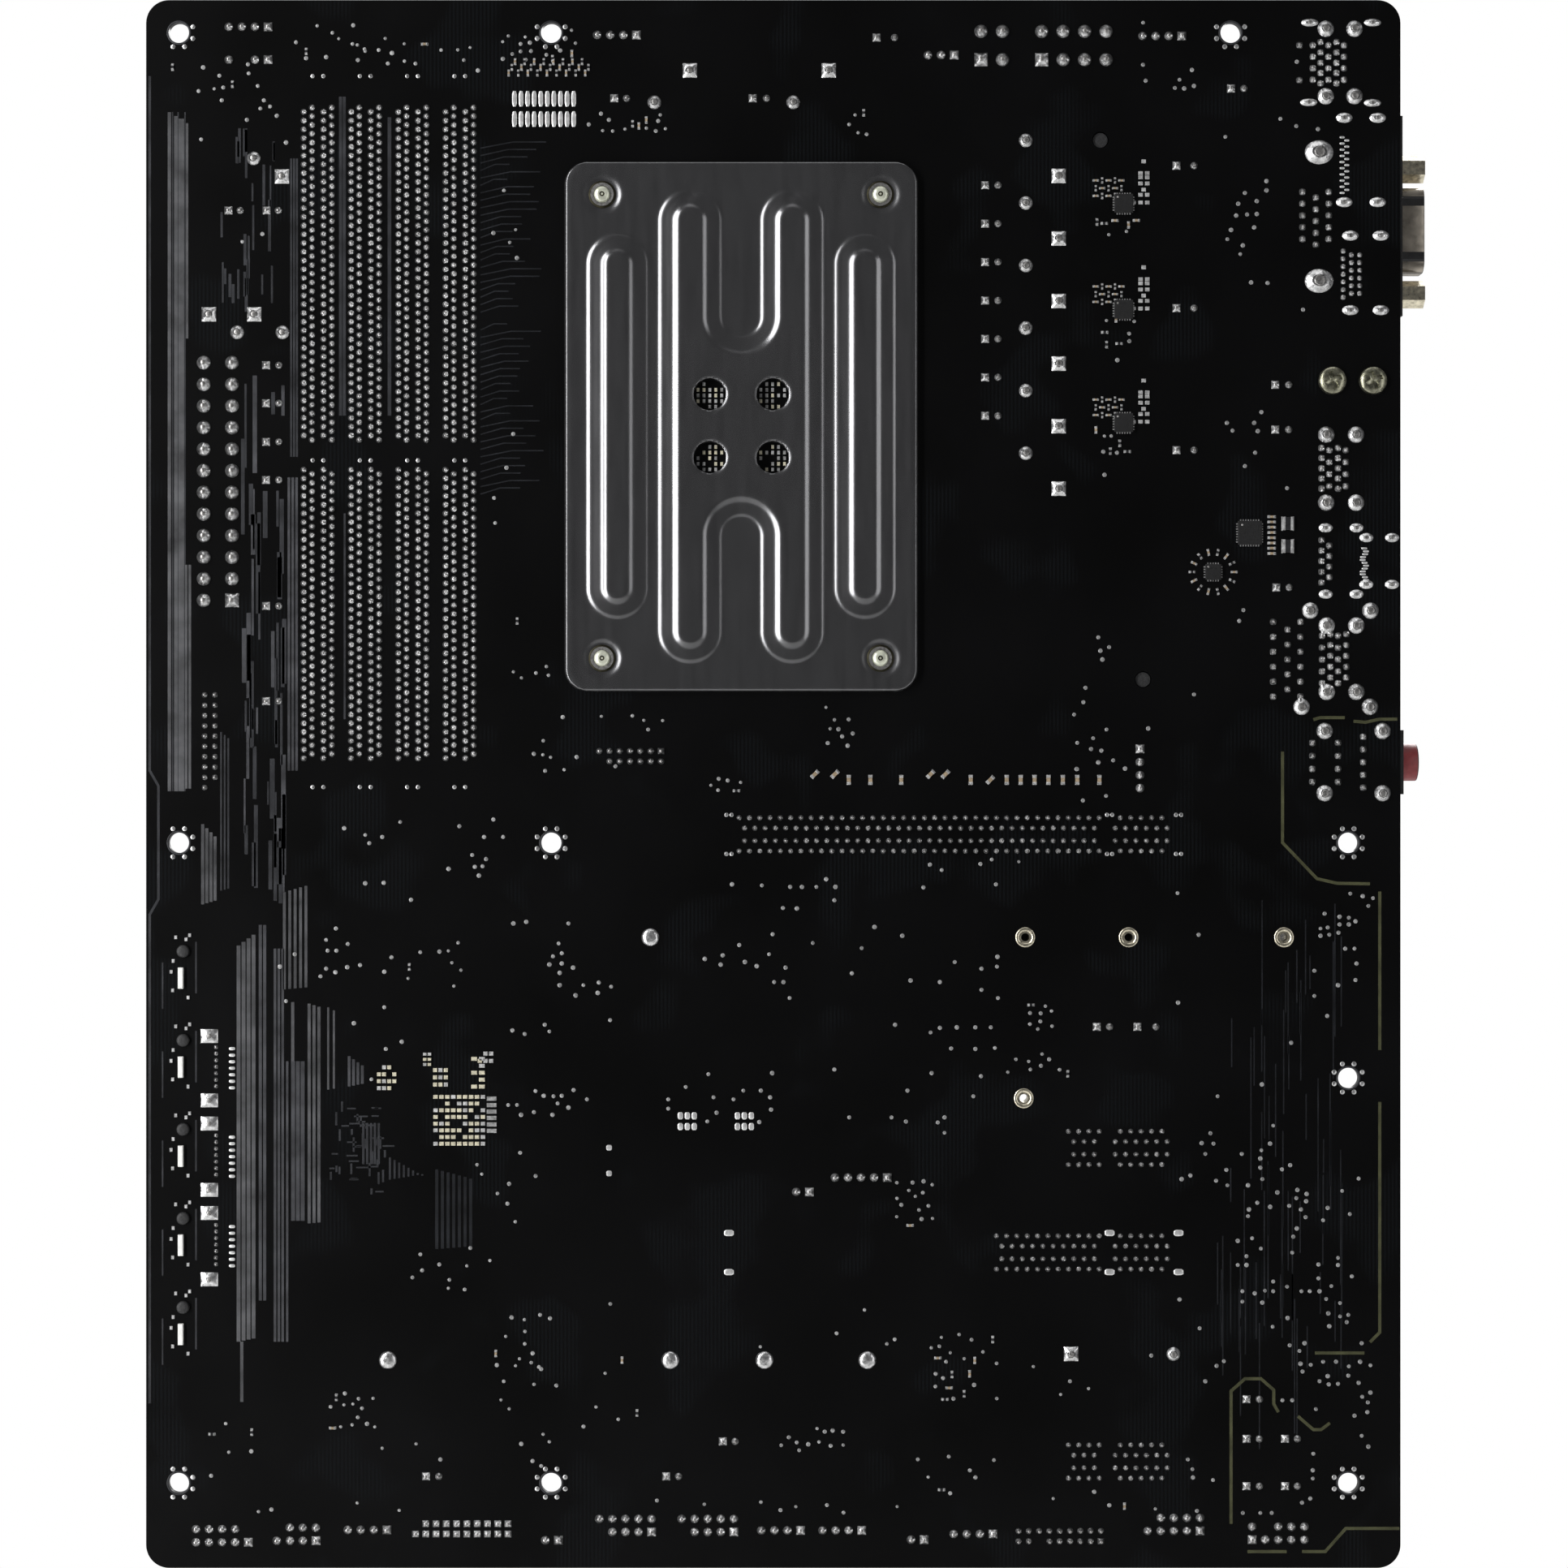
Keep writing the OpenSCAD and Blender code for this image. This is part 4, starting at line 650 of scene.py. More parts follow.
# random patches of small parts and test points: centre, width, height and number
BACK_PATCHES = [
    (150, 71, 9, 9, 15), (74, 46, 14, 14, 12), (60, 56, 18, 16, 10), (74, 36, 12, 12, 8),
    (40, 30, 9, 8, 14), (60, 22, 40, 8, 8), (90, 34, 12, 16, 6), (129, 25, 16, 5, 12),
    (159, 39, 13, 13, 24), (156, 18, 18, 8, 8), (178, 36, 12, 10, 4), (173, 98, 14, 4, 9),
    (174, 107, 5, 5, 9), (135, 164, 6, 9, 9), (88, 160, 26, 12, 14), (110, 152, 12, 3, 6),
    (160, 137, 30, 3, 5), (141, 281, 10, 6, 5), (13, 290, 18, 5, 6), (35, 297, 24, 6, 10),
    (52, 294, 24, 5, 12), (70, 257, 6, 30, 5), (70, 210, 6, 40, 4), (75, 180, 8, 14, 6),
    (14, 22, 14, 14, 6), (120, 48, 60, 16, 6), (128, 12, 60, 3, 8), (190, 13, 30, 4, 6),
    (36, 12, 30, 3, 4), (56, 117, 12, 10, 8), (70, 74, 12, 14, 8),
]
FRONT_PATCHES = [
    (185, 130, 30, 8, 26), (150, 112, 40, 6, 24), (60, 62, 40, 10, 26), (100, 66, 40, 8, 26),
    (176, 72, 36, 8, 24), (214, 62, 24, 18, 44), (214, 30, 22, 12, 30), (150, 34, 24, 6, 20),
    (120, 27, 30, 8, 24), (70, 24, 20, 8, 16), (96, 170, 30, 8, 24), (80, 245, 6, 50, 30),
    (152, 240, 14, 60, 44), (115, 278, 40, 4, 22), (205, 240, 8, 50, 30), (214, 120, 14, 24, 30),
    (20, 130, 18, 18, 22), (26, 200, 4, 60, 12), (40, 300, 40, 4, 14), (30, 60, 16, 30, 26),
]
REGULATOR_X, REGULATOR_Z = 190, (265.2, 244.6, 222.6)     # the voltage regulator's three controllers


def top_parts(b):
    """The coupling capacitors above the first slot, and a double row of long pads near the top."""
    for k, x in enumerate((130, 133.9, 136.6, 140.8, 146.8, 152.5, 155.4, 160.3, 164.1, 167.3, 170, 172.7,
                           175.4, 178.2, 181, 185.3)):
        angle = math.pi / 4 if k in (0, 1, 5, 6, 8) else math.pi / 2
        passive(b, x, 153.2 + (1.1 if k in (0, 1, 5, 6) else 0), 1.5, 0.8, angle=angle)
    for i in range(10):
        for z in (285.6, 281.65):
            pad(b, 71.6 + 1.28 * i, z, 1, 0.08, square=1, stretch=(0.46, 1.5), slot=BRIGHT_SLOT)
    for k in range(26):
        passive(b, 70.5 + 0.62 * k, 290.6 + 1.1 * (k % 3), 0.9, 0.45, angle=math.pi / 2, body=k % 2)
    scatter(b, 77, 296, 16, 6, 16, seed=3, spread=1.4)
    scatter(b, 93, 281, 16, 4, 14, seed=4, spread=1.2)


def window_parts(b):
    """Decoupling under the processor, seen through the backplate's windows."""
    r = random.Random(5)
    for x, z in WINDOWS:
        for i, j in grid(-2, -2, 5, 5, 1, 1):
            if math.hypot(i, j) < 2.7 and r.random() < 0.75:
                b.block(CPU[0] + x + 1.16 * i, CPU[1] + z + 1.1 * j, 0.55, 0.72, 0, -0.4,
                        slot=r.choice((CREAM_SLOT, ENDS, POINT_SLOT)), chamfer=0.06)


def chip_parts(b):
    """What stands round the controllers of the voltage regulator and the network chip."""
    for z in REGULATOR_Z:
        for k, dz in enumerate((8.2, 5.9, 5.1, 3.9, 2.7, 1.7, 0.2)):
            for x in ((193.9,) if k in (0, 4) else (193.3, 194.6)):
                b.block(x, z + dz, 0.85, 0.7, 0, -0.35, slot=ENDS, chamfer=0.06)
        b.block(192.1, z + 0.2, 0.5, 0.6, 0, -0.35, slot=ENDS, chamfer=0.06)
        for k in range(15):
            passive(b, 184.6 + 1.25 * (k % 5), z + 1.5 + 1.5 * (k // 5), 0.8, 0.4,
                    angle=math.pi / 2 * (k % 2), body=k % 2)
        scatter(b, 188.5, z - 4, 8, 6, 8, seed=int(z), spread=1.3)
    for k in range(8):
        passive(b, 218.8, 197.2 + 1.02 * k, 1.2, 0.5, body=0)
    for k in range(2):
        passive(b, 221.9, 198.6 + 4.4 * k, 2.0, 2.6, t=0.8, body=1)
    for k in range(14):
        a = 2 * math.pi * k / 14
        passive(b, 207.4 + 4.1 * math.cos(a), 193.6 + 3.9 * math.sin(a), 0.9, 0.45, angle=a, body=k % 2)


def chipset_parts(b):
    """Decoupling behind the chipset, as rows of small capacitor ends, and pads between the slots."""
    r = random.Random(21)
    for x0, z0, columns, rows, dx, dz in ((45.3, 93.3, 4, 4, 1.0, 1.35), (54.2, 97.9, 2, 3, 0.9, 1.0),
                                          (56.2, 94.0, 3, 4, 1.05, 1.4), (63.8, 93.6, 2, 5, 1.5, 1.35),
                                          (56.3, 82.5, 9, 8, 1.15, 1.3), (64.9, 98.6, 3, 2, 1.1, 1.4)):
        for x, z in grid(x0, z0, columns, rows, dx, dz):
            if r.random() < 0.86:
                b.block(x, z, 0.75 * dx, 0.55 * dz, 0, -0.4, slot=r.choice((CREAM_SLOT, CREAM_SLOT, ENDS)),
                        chamfer=0.06)
    for j in range(6):
        b.block(67.2, 85 + 1.25 * j, 1.9, 0.8, 0, -0.4, slot=POINT_SLOT, chamfer=0.06)
    for x in (105.2, 116.3):
        for i in range(3):
            for z in (85.8, 87.9):
                pad(b, x + 1.35 * (i - 1), z, 0.55, 0.1, square=1, stretch=(0.95, 1.25), slot=BRIGHT_SLOT)
    for z in (81.7, 76.7):
        pad(b, 90, z, 0.55, 0.1, square=1, slot=ENDS)


def small_parts():
    b = Batch()
    top_parts(b)
    window_parts(b)
    chip_parts(b)
    chipset_parts(b)
    for x, z in POINTS:
        pad(b, x, z, 0.36 + 0.1 * rnd.random(), 0.06, sides=10, slot=POINT_SLOT)
    for k, (x, z, w, h, n) in enumerate(BACK_PATCHES):
        scatter(b, x, z, w, h, n, seed=100 + k, parts=0.12)
    b.make("small_parts", [CERAMIC, RESISTOR, PASTE, CREAM, POINT_TIN, BRIGHT_TIN], slot="ceramic_passive",
           replaces=["back_passives"])


def four_sides(d, reach, across, along):
    """One lead on each side of a chip: d along the side, reach out from the middle, and the lead's size."""
    return ((d, reach, across, along), (d, -reach, across, along), (reach, d, along, across),
            (-reach, d, along, across))


def controller_chips():
    """Leadless packages: a moulded body with a marked corner, and the ends of its pads."""
    b, pitch = Batch(), 0.5
    for x, z, w in [(REGULATOR_X, z, 3.6) for z in REGULATOR_Z] + [(214.5, 201.2, 4.6), (207.4, 193.6, 3)]:
        b.block(x, z, w, w, 0, -0.85, slot=0, chamfer=0.08)
        b.turned(x - w * 0.33, z + w * 0.33, [(0.2, 0.85), (0.18, 0.87)], slot=2, sides=12)
        n = int(w / pitch) - 1
        for k in range(n):
            for px, pz, pw, ph in four_sides((k - (n - 1) / 2) * pitch, w / 2 + 0.12, 0.24, 0.4):
                b.block(x + px, z + pz, pw, ph, 0, -0.12, slot=1)
    b.make("controller_chips", [CHIP_DARK, POINT_TIN, PIN_TIP], slot="chip_epoxy", replaces=["back_chips"])


def lamp_strip():
    """Edge lamps: a white lens, a dark round part over it, small ends about them, and two thin lines."""
    b = Batch()
    for k in range(5):
        z = 114.7 - 17.3 * k
        b.block(6.8, z, 1.0, 4.1, 0, -0.9, slot=0, chamfer=0.12)
        b.turned(7.2, z + 5.2, [(1.25, 0), (1.2, 0.7), (1.0, 0.85), (0.5, 0.9)], slot=2, sides=24)
        for dx, dz in ((-1.6, -2.4), (-1.5, 3.3), (1.4, -3.8), (-1.0, 7.9), (1.0, 7.5), (1.7, 8.3),
                       (-1.9, 1.2)):
            b.block(6.8 + dx, z + dz, 0.55, 0.7, 0, -0.35, slot=1, chamfer=0.06)
        b.ribbon([(9.7, z - 3), (9.7, z + 7)], 0.35, THIN_COPPER, 3)
        b.ribbon([(3.2, z - 6), (3.2, z + 3)], 0.3, THIN_COPPER, 3)
    b.make("lamp_strip", [LENS, PASTE, CHIP, TRACE_PAINTED_SHEEN_DIM], slot="led_lens", replaces=["edge_leds"])


# ---------------------------------------------------------------- solder side: tracks


DIM, MID, FAINT = 1, 2, 3     # material slots of the tracks with fainter painted highlight
BUNDLES = [   # from x, to x, top, bottom, track width, gap, slot, slant
    (10.7, 14.2, 144.6, 129, 0.6, 0.2, 0, 0.8), (14.4, 16.3, 162.5, 131.7, 0.35, 0.35, DIM, 0.6),
    (17.6, 21.8, 121, 44, 0.75, 0.22, 0, -0.7), (21.9, 23.6, 125, 52, 0.6, 0.25, MID, 0),
    (18.3, 18.9, 44, 32.3, 0.6, 0.2, 0, 0), (24.8, 26.8, 120.4, 44, 0.5, 0.25, MID, 0),
    (27.2, 28.1, 98.5, 44, 0.45, 0.2, MID, 0), (28.2, 29.3, 110, 98.5, 0.6, 0.4, 0, 0),
    (28.2, 31.4, 98.5, 67.5, 0.75, 0.18, MID, 0), (31.4, 34.6, 109.7, 67, 0.6, 0.35, 0, 0.3),
    (35.2, 37.4, 109, 93, 0.4, 0.7, 0, 0.6), (39.2, 42.6, 99.5, 93.6, 0.55, 0.3, MID, 0.6),
    (42, 45.5, 86.5, 78.5, 0.45, 0.3, DIM, 0), (47.2, 54.2, 79.8, 75.5, 0.4, 0.5, DIM, 0.5),
    (56.2, 64, 77.5, 62, 0.6, 0.5, FAINT, 0.3), (26.6, 31.5, 131.4, 112.5, 0.55, 0.5, 0, -0.3),
    (28.0, 30, 274, 216, 0.4, 0.16, DIM, 0), (27.5, 29.9, 212, 155, 0.5, 0.25, MID, 0),
    (37.5, 39.1, 286, 224, 0.6, 0.12, DIM, 0),
]


def bundle(b, x0, x1, z_top, z_low, width, gap, slot, slant):
    """Parallel tracks up the board from z_low to z_top; slant moves each one's ends down in turn."""
    n = max(1, int((x1 - x0 + gap) / (width + gap)))
    for k in range(n):
        x = x0 + width / 2 + k * (width + gap)
        b.ribbon([(x, z_top - slant * k), (x, z_low + abs(slant) * 0.3 * k)], width, COPPER, slot)


def tracks():
    """The masked tracks, their brightness painted as the light they catch: bundles read one by one, and
    random ones between them.
    """
    b = Batch()
    for x0, x1, low in ((4.2, 4.85, 151), (5.45, 6.15, 151), (6.3, 7.4, 151), (7.75, 8.2, 239)):
        x = (x0 + x1) / 2
        b.ribbon([(x, 285.5 - 0.6 * x0), (x, low)], x1 - x0, COPPER)
    for x in (5.15, 6.22, 7.57):
        b.ribbon([(x, 283), (x, 151)], 0.25, THIN_COPPER, DIM)
    for x in (7.8, 8.5):
        b.ribbon([(x, 195), (x, 151.5)], 0.5, COPPER)
    for row in BUNDLES:
        bundle(b, *row)
    b.ribbon([(38.6, 205), (38.6, 165)], 0.4, THIN_COPPER, DIM)
    b.ribbon([(47.3, 282), (47.3, 224)], 0.7, THIN_COPPER, DIM)
    r = random.Random(11)
    for k in range(64):
        x, z = 18.8 + 8.4 * r.random(), 140 + 92 * r.random()
        if all(abs(x - p[0]) > 1.2 or not z - 22 < p[2] < z + 1 for p in CAP_PAIRS):
            b.ribbon([(x, z), (x, z - 4 - 15 * r.random())], 0.35 + 0.6 * r.random(), COPPER,
                     r.choice((DIM, DIM, MID)))
    for k in range(26):
        x, z = 13 + 12 * r.random(), 281 - 32 * r.random()
        b.ribbon([(x, z), (x, z - 3 - 7 * r.random())], 0.3 + 0.3 * r.random(), COPPER, DIM)
    for k in range(60):
        x, z = 208 + 26 * r.random(), 40 + 90 * r.random()
        b.ribbon([(x, z), (x, z - 6 - 22 * r.random())], 0.25, THIN_COPPER, FAINT)
    for k in range(46):
        x, z = 35.5 + 11 * r.random(), 73 + 18 * r.random()
        reach = 1 + 2 * r.random()
        if k % 2:
            b.ribbon([(x, z), (x, z - reach)], 0.4, THIN_COPPER, DIM)
        else:
            b.ribbon([(x, z), (x + reach, z)], 0.3, THIN_COPPER, DIM)
    # tracks that fan out from the memory slots towards the processor
    for k in range(46):
        z = 276 - 1.45 * k - 2 * (k > 22)
        reach = 5 + 8 * r.random()
        b.ribbon([(65, z), (65 + reach * 0.5, z + 1.2), (65 + reach, z + 1.2)], 0.25, THIN_COPPER, FAINT)
    # edge line with its jogs round the holes
    b.ribbon([(0.7, 290), (0.7, 155), (2.4, 152), (2.4, 130), (0.7, 127), (0.7, 32)], 0.5, THIN_COPPER, DIM)
    b.make("tracks", [TRACE_PAINTED_SHEEN, TRACE_PAINTED_SHEEN_DIM, TRACE_PAINTED_SHEEN_MID, TRACE_PAINTED_SHEEN_FAINT], slot="solder_mask")


def isolation_line():
    """The olive line that fences off the audio part of the board."""
    b = Batch()
    runs = [
        [(226.9, 164.9), (228.2, 165.3), (233, 165.3)],
        [(234.7, 164.6), (237, 164.4), (239.8, 165), (243.2, 165)],
        [(220.9, 158.7), (220.9, 141), (227.6, 134), (231.5, 133.1), (237.9, 133)],
        [(239.8, 131.5), (239.8, 100.7)], [(239.8, 90.6), (239.8, 45.8), (237.9, 43.9)],
        [(227.2, 41.8), (236.8, 41.8)],
        [(210.9, 8.6), (210.9, 34.4), (213.6, 36.8), (216.7, 36.8), (219.2, 34.6), (219.2, 31.9),
         (220.1, 30.3)],
        [(223.9, 29.5), (226.9, 26.9), (228.4, 26.9), (230.1, 28.2)],
        [(214.1, 3.2), (221.7, 3.2)], [(224.7, 3.2), (229.2, 3.2), (233.2, 7.7), (243.6, 7.7)],
    ]
    for run in runs:
        b.ribbon(run, 0.6, 0.05)
    b.make("isolation_line", [OLIVE], slot="solder_mask")


# ---------------------------------------------------------------- backplate

PLATE_W, PLATE_H, PLATE_R = 68.7, 103.0, 4.5
PLATE_FLAT, RAISED = 1.5, 1.25     # the flat stands off the board, and the raised shapes off the flat
FILM_TOP = 0.3                     # where the film under the plate ends
WINDOW_R, POST_R = 3.1, 1.7
POSTS = [(27 * sx, 45 * sz) for sx in (-1, 1) for sz in (-1, 1)]
WINDOWS = [(6.1 * sx, 6.1 * sz) for sx in (-1, 1) for sz in (-1, 1)]


def inside_raised(u, v):
    """How far u, v lies inside the nearest raised shape: two long bands and an H between them."""
    u, v = abs(u), abs(v)
    band = 4.2 - math.hypot(u - 24, max(0, v - 31.4))
    if v > 39.8:
        letter = 4.4 - math.hypot(u - 9.9, v - 39.8)
    else:
        letter = min(math.hypot(u, max(0, 21.3 - v)) - 5.5, 14.3 - u)
    return max(band, letter)


def smooth_step(t):
    t = min(1.0, max(0.0, t))
    return t * t * (3 - 2 * t)


def flank(d):
    """A sloping side with a step at its foot and another at its shoulder, 0 to 1 at d mm inside."""
    foot, side = smooth_step((d + 2.1) / 1.15), smooth_step((d + 1.4) / 3)
    return 0.28 * foot + 0.3 * side + 0.42 * smooth_step((d - 0.8) / 1.7)


def plate_height(u, v):
    """How far the pressed steel stands above the board, at u, v from the plate's centre."""
    h = PLATE_FLAT + RAISED * flank(inside_raised(u, v))
    for x, z in POSTS:        # a dish round each post
        h -= 0.4 * (1 - smooth_step((math.hypot(u - x, v - z) - 2.6) / 1.6))
    for x, z in WINDOWS:      # a soft edge round each window
        h -= 0.25 * math.exp(-((math.hypot(u - x, v - z) - WINDOW_R) / 0.35) ** 2)
    for x in (-9.8, 10):      # two punch marks near the top
        h -= 0.3 * math.exp(-(math.hypot(u - x, v - 45) / 1.3) ** 2)
    # rolled rim
    ex = PLATE_W / 2 - abs(u)
    ez = PLATE_H / 2 - abs(v)
    edge = min(ex, ez)
    if ex < PLATE_R and ez < PLATE_R:
        edge = PLATE_R - math.hypot(PLATE_R - ex, PLATE_R - ez)
    h += 0.1 * math.exp(-((edge - 1.3) / 0.8) ** 2)
    return h - 1.1 * (1 - smooth_step(edge / 0.3))


def backplate():
    """The pressed steel: a fine grid of points drawn in to the rim and the holes, with walls to the film."""
    step = 0.32
    columns, rows = int(PLATE_W / step), int(PLATE_H / step)
    verts = []
    for j in range(rows + 1):
        v = PLATE_H * (j / rows - 0.5)
        ez = PLATE_H / 2 - abs(v)
        half = PLATE_W / 2
        if ez < PLATE_R:
            half += math.sqrt(max(0.0, PLATE_R ** 2 - (PLATE_R - ez) ** 2)) - PLATE_R
        verts += [[half * (2 * i / columns - 1), v] for i in range(columns + 1)]
    holes = [(x, z, WINDOW_R) for x, z in WINDOWS] + [(x, z, POST_R) for x, z in POSTS]

    def hole_at(p):
        return next((h for h in holes if math.hypot(p[0] - h[0], p[1] - h[1]) < h[2]), None)

    faces = []
    for j in range(rows):
        for i in range(columns):
            a = j * (columns + 1) + i
            quad = (a, a + 1, a + columns + 2, a + columns + 1)
            if not all(hole_at(verts[k]) for k in quad):
                faces.append(quad)
    used = sorted({k for f in faces for k in f})
    for k in used:
        h = hole_at(verts[k])
        if h:
            d = math.hypot(verts[k][0] - h[0], verts[k][1] - h[1])
            verts[k] = [h[0] + (verts[k][0] - h[0]) * h[2] / d, h[1] + (verts[k][1] - h[1]) * h[2] / d]
    index = {k: n for n, k in enumerate(used)}
    b = Batch()
    top = [(CPU[0] + verts[k][0], -plate_height(*verts[k]), CPU[1] + verts[k][1]) for k in used]
    b.add(top, [tuple(index[k] for k in f) for f in faces], 0, True)
    # walls down to the film, round the rim and the holes: from each edge that has one face only
    edges = {}
    for f in faces:
        for p, q in zip(f, f[1:] + f[:1]):
            key = (min(p, q), max(p, q))
            edges[key] = None if key in edges else (p, q)
    border = [e for e in edges.values() if e]
    low = {}
    for e in border:
        for k in e:
            low.setdefault(k, len(b.verts) + len(low))
    b.verts += [(b.verts[index[k]][0], -FILM_TOP * MM, b.verts[index[k]][2]) for k in low]
    b.faces += [(index[q], index[p], low[p], low[q]) for p, q in border]
    b.slots += [0] * len(border)
    b.smooth += [False] * len(border)
    b.make("pressed_backplate", [PLATE_STEEL], slot="backplate_steel", replaces=["cpu_backplate"])


def post_ends():
    """The screw ends in the backplate's posts, each in its dark collar."""
    b = Batch()
    for x, z in POSTS:
        bx, bz = CPU[0] + x, CPU[1] + z
        b.turned(bx, bz, [(2.7, 0.6), (2.65, 1.2), (2.5, 1.3), (1.8, 1.3), (1.6, 1.1)], slot=0, sides=32)
        b.turned(bx, bz, [(1.5, 1.0), (1.48, 1.75), (1.3, 1.98), (0.6, 2.04)], slot=1, sides=32)
        b.turned(bx, bz, [(0.5, 2.0), (0.48, 2.12), (0.3, 2.14), (0.2, 2.0)], slot=0, sides=12)
    b.make("post_ends", [OLD_BRASS, GOLD_PALE], slot="plated_brass")


def screw_heads():
    """Pan heads with a cross recess, which hold the bracket of the radio module."""
    b, rings, sides, turn = Batch(), 14, 48, math.radians(25)
    for x in (230.6, 238.5):
        verts = []
        for i in range(rings + 1):
            for k in range(sides):
                r, a = 2.75 * i / rings, 2 * math.pi * (k + 0.5) / sides
                u, v = r * math.cos(a), r * math.sin(a)
                h = 0.35 + 1.15 * math.sqrt(max(0, 1 - (r / 2.85) ** 2))
                p = u * math.cos(turn) + v * math.sin(turn)
                q = v * math.cos(turn) - u * math.sin(turn)
                if min(abs(p), abs(q)) < 0.42 and r < 1.75:
                    h -= 1.2 * (1 - r / 2.6)
                verts.append((x + u, -h if i < rings else 0.0, 230.8 + v))
        faces = [tuple(range(sides))[::-1]]
        for i in range(rings):
            for k in range(sides):
                a, c = i * sides + k, i * sides + (k + 1) % sides
                faces.append((a, a + sides, c + sides, c)[::-1])
        b.add(verts, faces, 0, False)
    b.make("screw_heads", [OLIVE_STEEL], slot="plated_brass", replaces=["module_bracket_screws"],
           fix_normals=True)


# ---------------------------------------------------------------- component side


def contacts():
    """The rows of spring contacts inside the memory and expansion slots."""
    b = Batch()
    for s in range(4):
        x = 33.39 + 9.19 * s
        for z0, n in ((221.2, 75), (154.2, 68)):
            for k in range(n):
                for d in (-1, 1):
                    b.block(x + d * 0.95, z0 + 0.85 * k, 0.35, 0.42, lift(2.5), lift(7.1))
    for n, wired in ((0, 70), (3, 7), (4, 70), (6, 7)):
        z = SLOT_TOP - SLOT_PITCH * n
        for x in [189.6 + k for k in range(10)] + [185 - k for k in range(wired)]:
            for d in (-1, 1):
                b.block(x, z + d, 0.45, 0.35, lift(3), lift(10.8))
    b.make("contacts", [GOLD], slot="gold_pin")


def socket_field():
    """The contact holes in the socket's sliding cover, as thin dark discs: their darkness is painted shade
    of the holes.
    """
    b, pitch = Batch(), 0.98
    for i, j in grid(-19, -19, 39, 39, 1):
        if max(abs(i), abs(j)) >= 5:
            b.turned(CPU[0] + i * pitch, CPU[1] + j * pitch, [(0.26, 0), (0.25, 0.02)], side=PARTS,
                     base=lift(5.4), sides=6)
    b.make("socket_field", [HOLE_PAINTED_SHADE], body="cover", slot="socket_plastic")


SMALL_CHIP = 5.3     # the one chip with leads on two sides only
CHIPS = [   # centre, width and leads on a side
    (216, 44, 9, 12), (150, 22, 14, 22), (90, 22, SMALL_CHIP, 4), (207, 201, 6, 10), (32, 30, 7, 10),
    (212, 165, 7, 10),
]


def chip_leads():
    """Leads round the packaged chips, and the dot that marks the first one."""
    b = Batch()
    for x, z, w, n in CHIPS:
        pitch = (w - 1.2) / max(1, n - 1)
        for k in range(n):
            for px, pz, pw, ph in four_sides((k - (n - 1) / 2) * pitch, w / 2 + 0.45, 0.28, 0.9):
                if w != SMALL_CHIP or pw > ph:
                    b.block(x + px, z + pz, pw, ph, lift(0), lift(0.3), slot=0, chamfer=0.05)
        b.turned(x + w * 0.36, z + w * 0.36, [(0.35, 0), (0.33, 0.015)], side=PARTS, base=lift(1.2), slot=1,
                 sides=16)
    b.make("chip_leads", [BRIGHT_TIN, PIN_TIP], slot="chip_epoxy")


def cans():
    """Polymer capacitors: a can with a crimped foot, on a dark base, with a flat bare top."""
    b = Batch()
    for x0, x1, z in CAP_PAIRS[:-2]:     # the last two pairs are of other parts
        r, h = (4.0, 11) if x1 - x0 > 3 else (3.15, 8)
        x = (x0 + x1) / 2
        b.turned(x, z, [(r, 0), (r, 0.7), (r * 0.93, 0.9), (r * 0.9, 1.2), (r * 0.97, 1.7), (r, 2.1),
                        (r, h - 0.7), (r * 0.96, h - 0.2), (r * 0.88, h)], side=PARTS, base=lift(0),
                 sides=32)
        b.turned(x, z, [(r * 0.84, 0), (r * 0.82, 0.03)], side=PARTS, base=lift(h), slot=1, sides=32)
        b.block(x, z - r * 0.42, r * 1.3, r * 0.5, lift(h), lift(h + 0.04), slot=0)
    b.make("cans", [CAN, CAN_TOP], slot="capacitor_can", replaces=["capacitors"])


def front_passives():
    b = Batch()
    for k, (x, z, w, h, n) in enumerate(FRONT_PATCHES):
        scatter(b, x, z, w, h, n, seed=300 + k, size=(1.2, 0.65), side=PARTS, parts=0.75)
    b.make("front_passives", [CERAMIC, RESISTOR, PASTE, CREAM, POINT_TIN], slot="ceramic_passive")


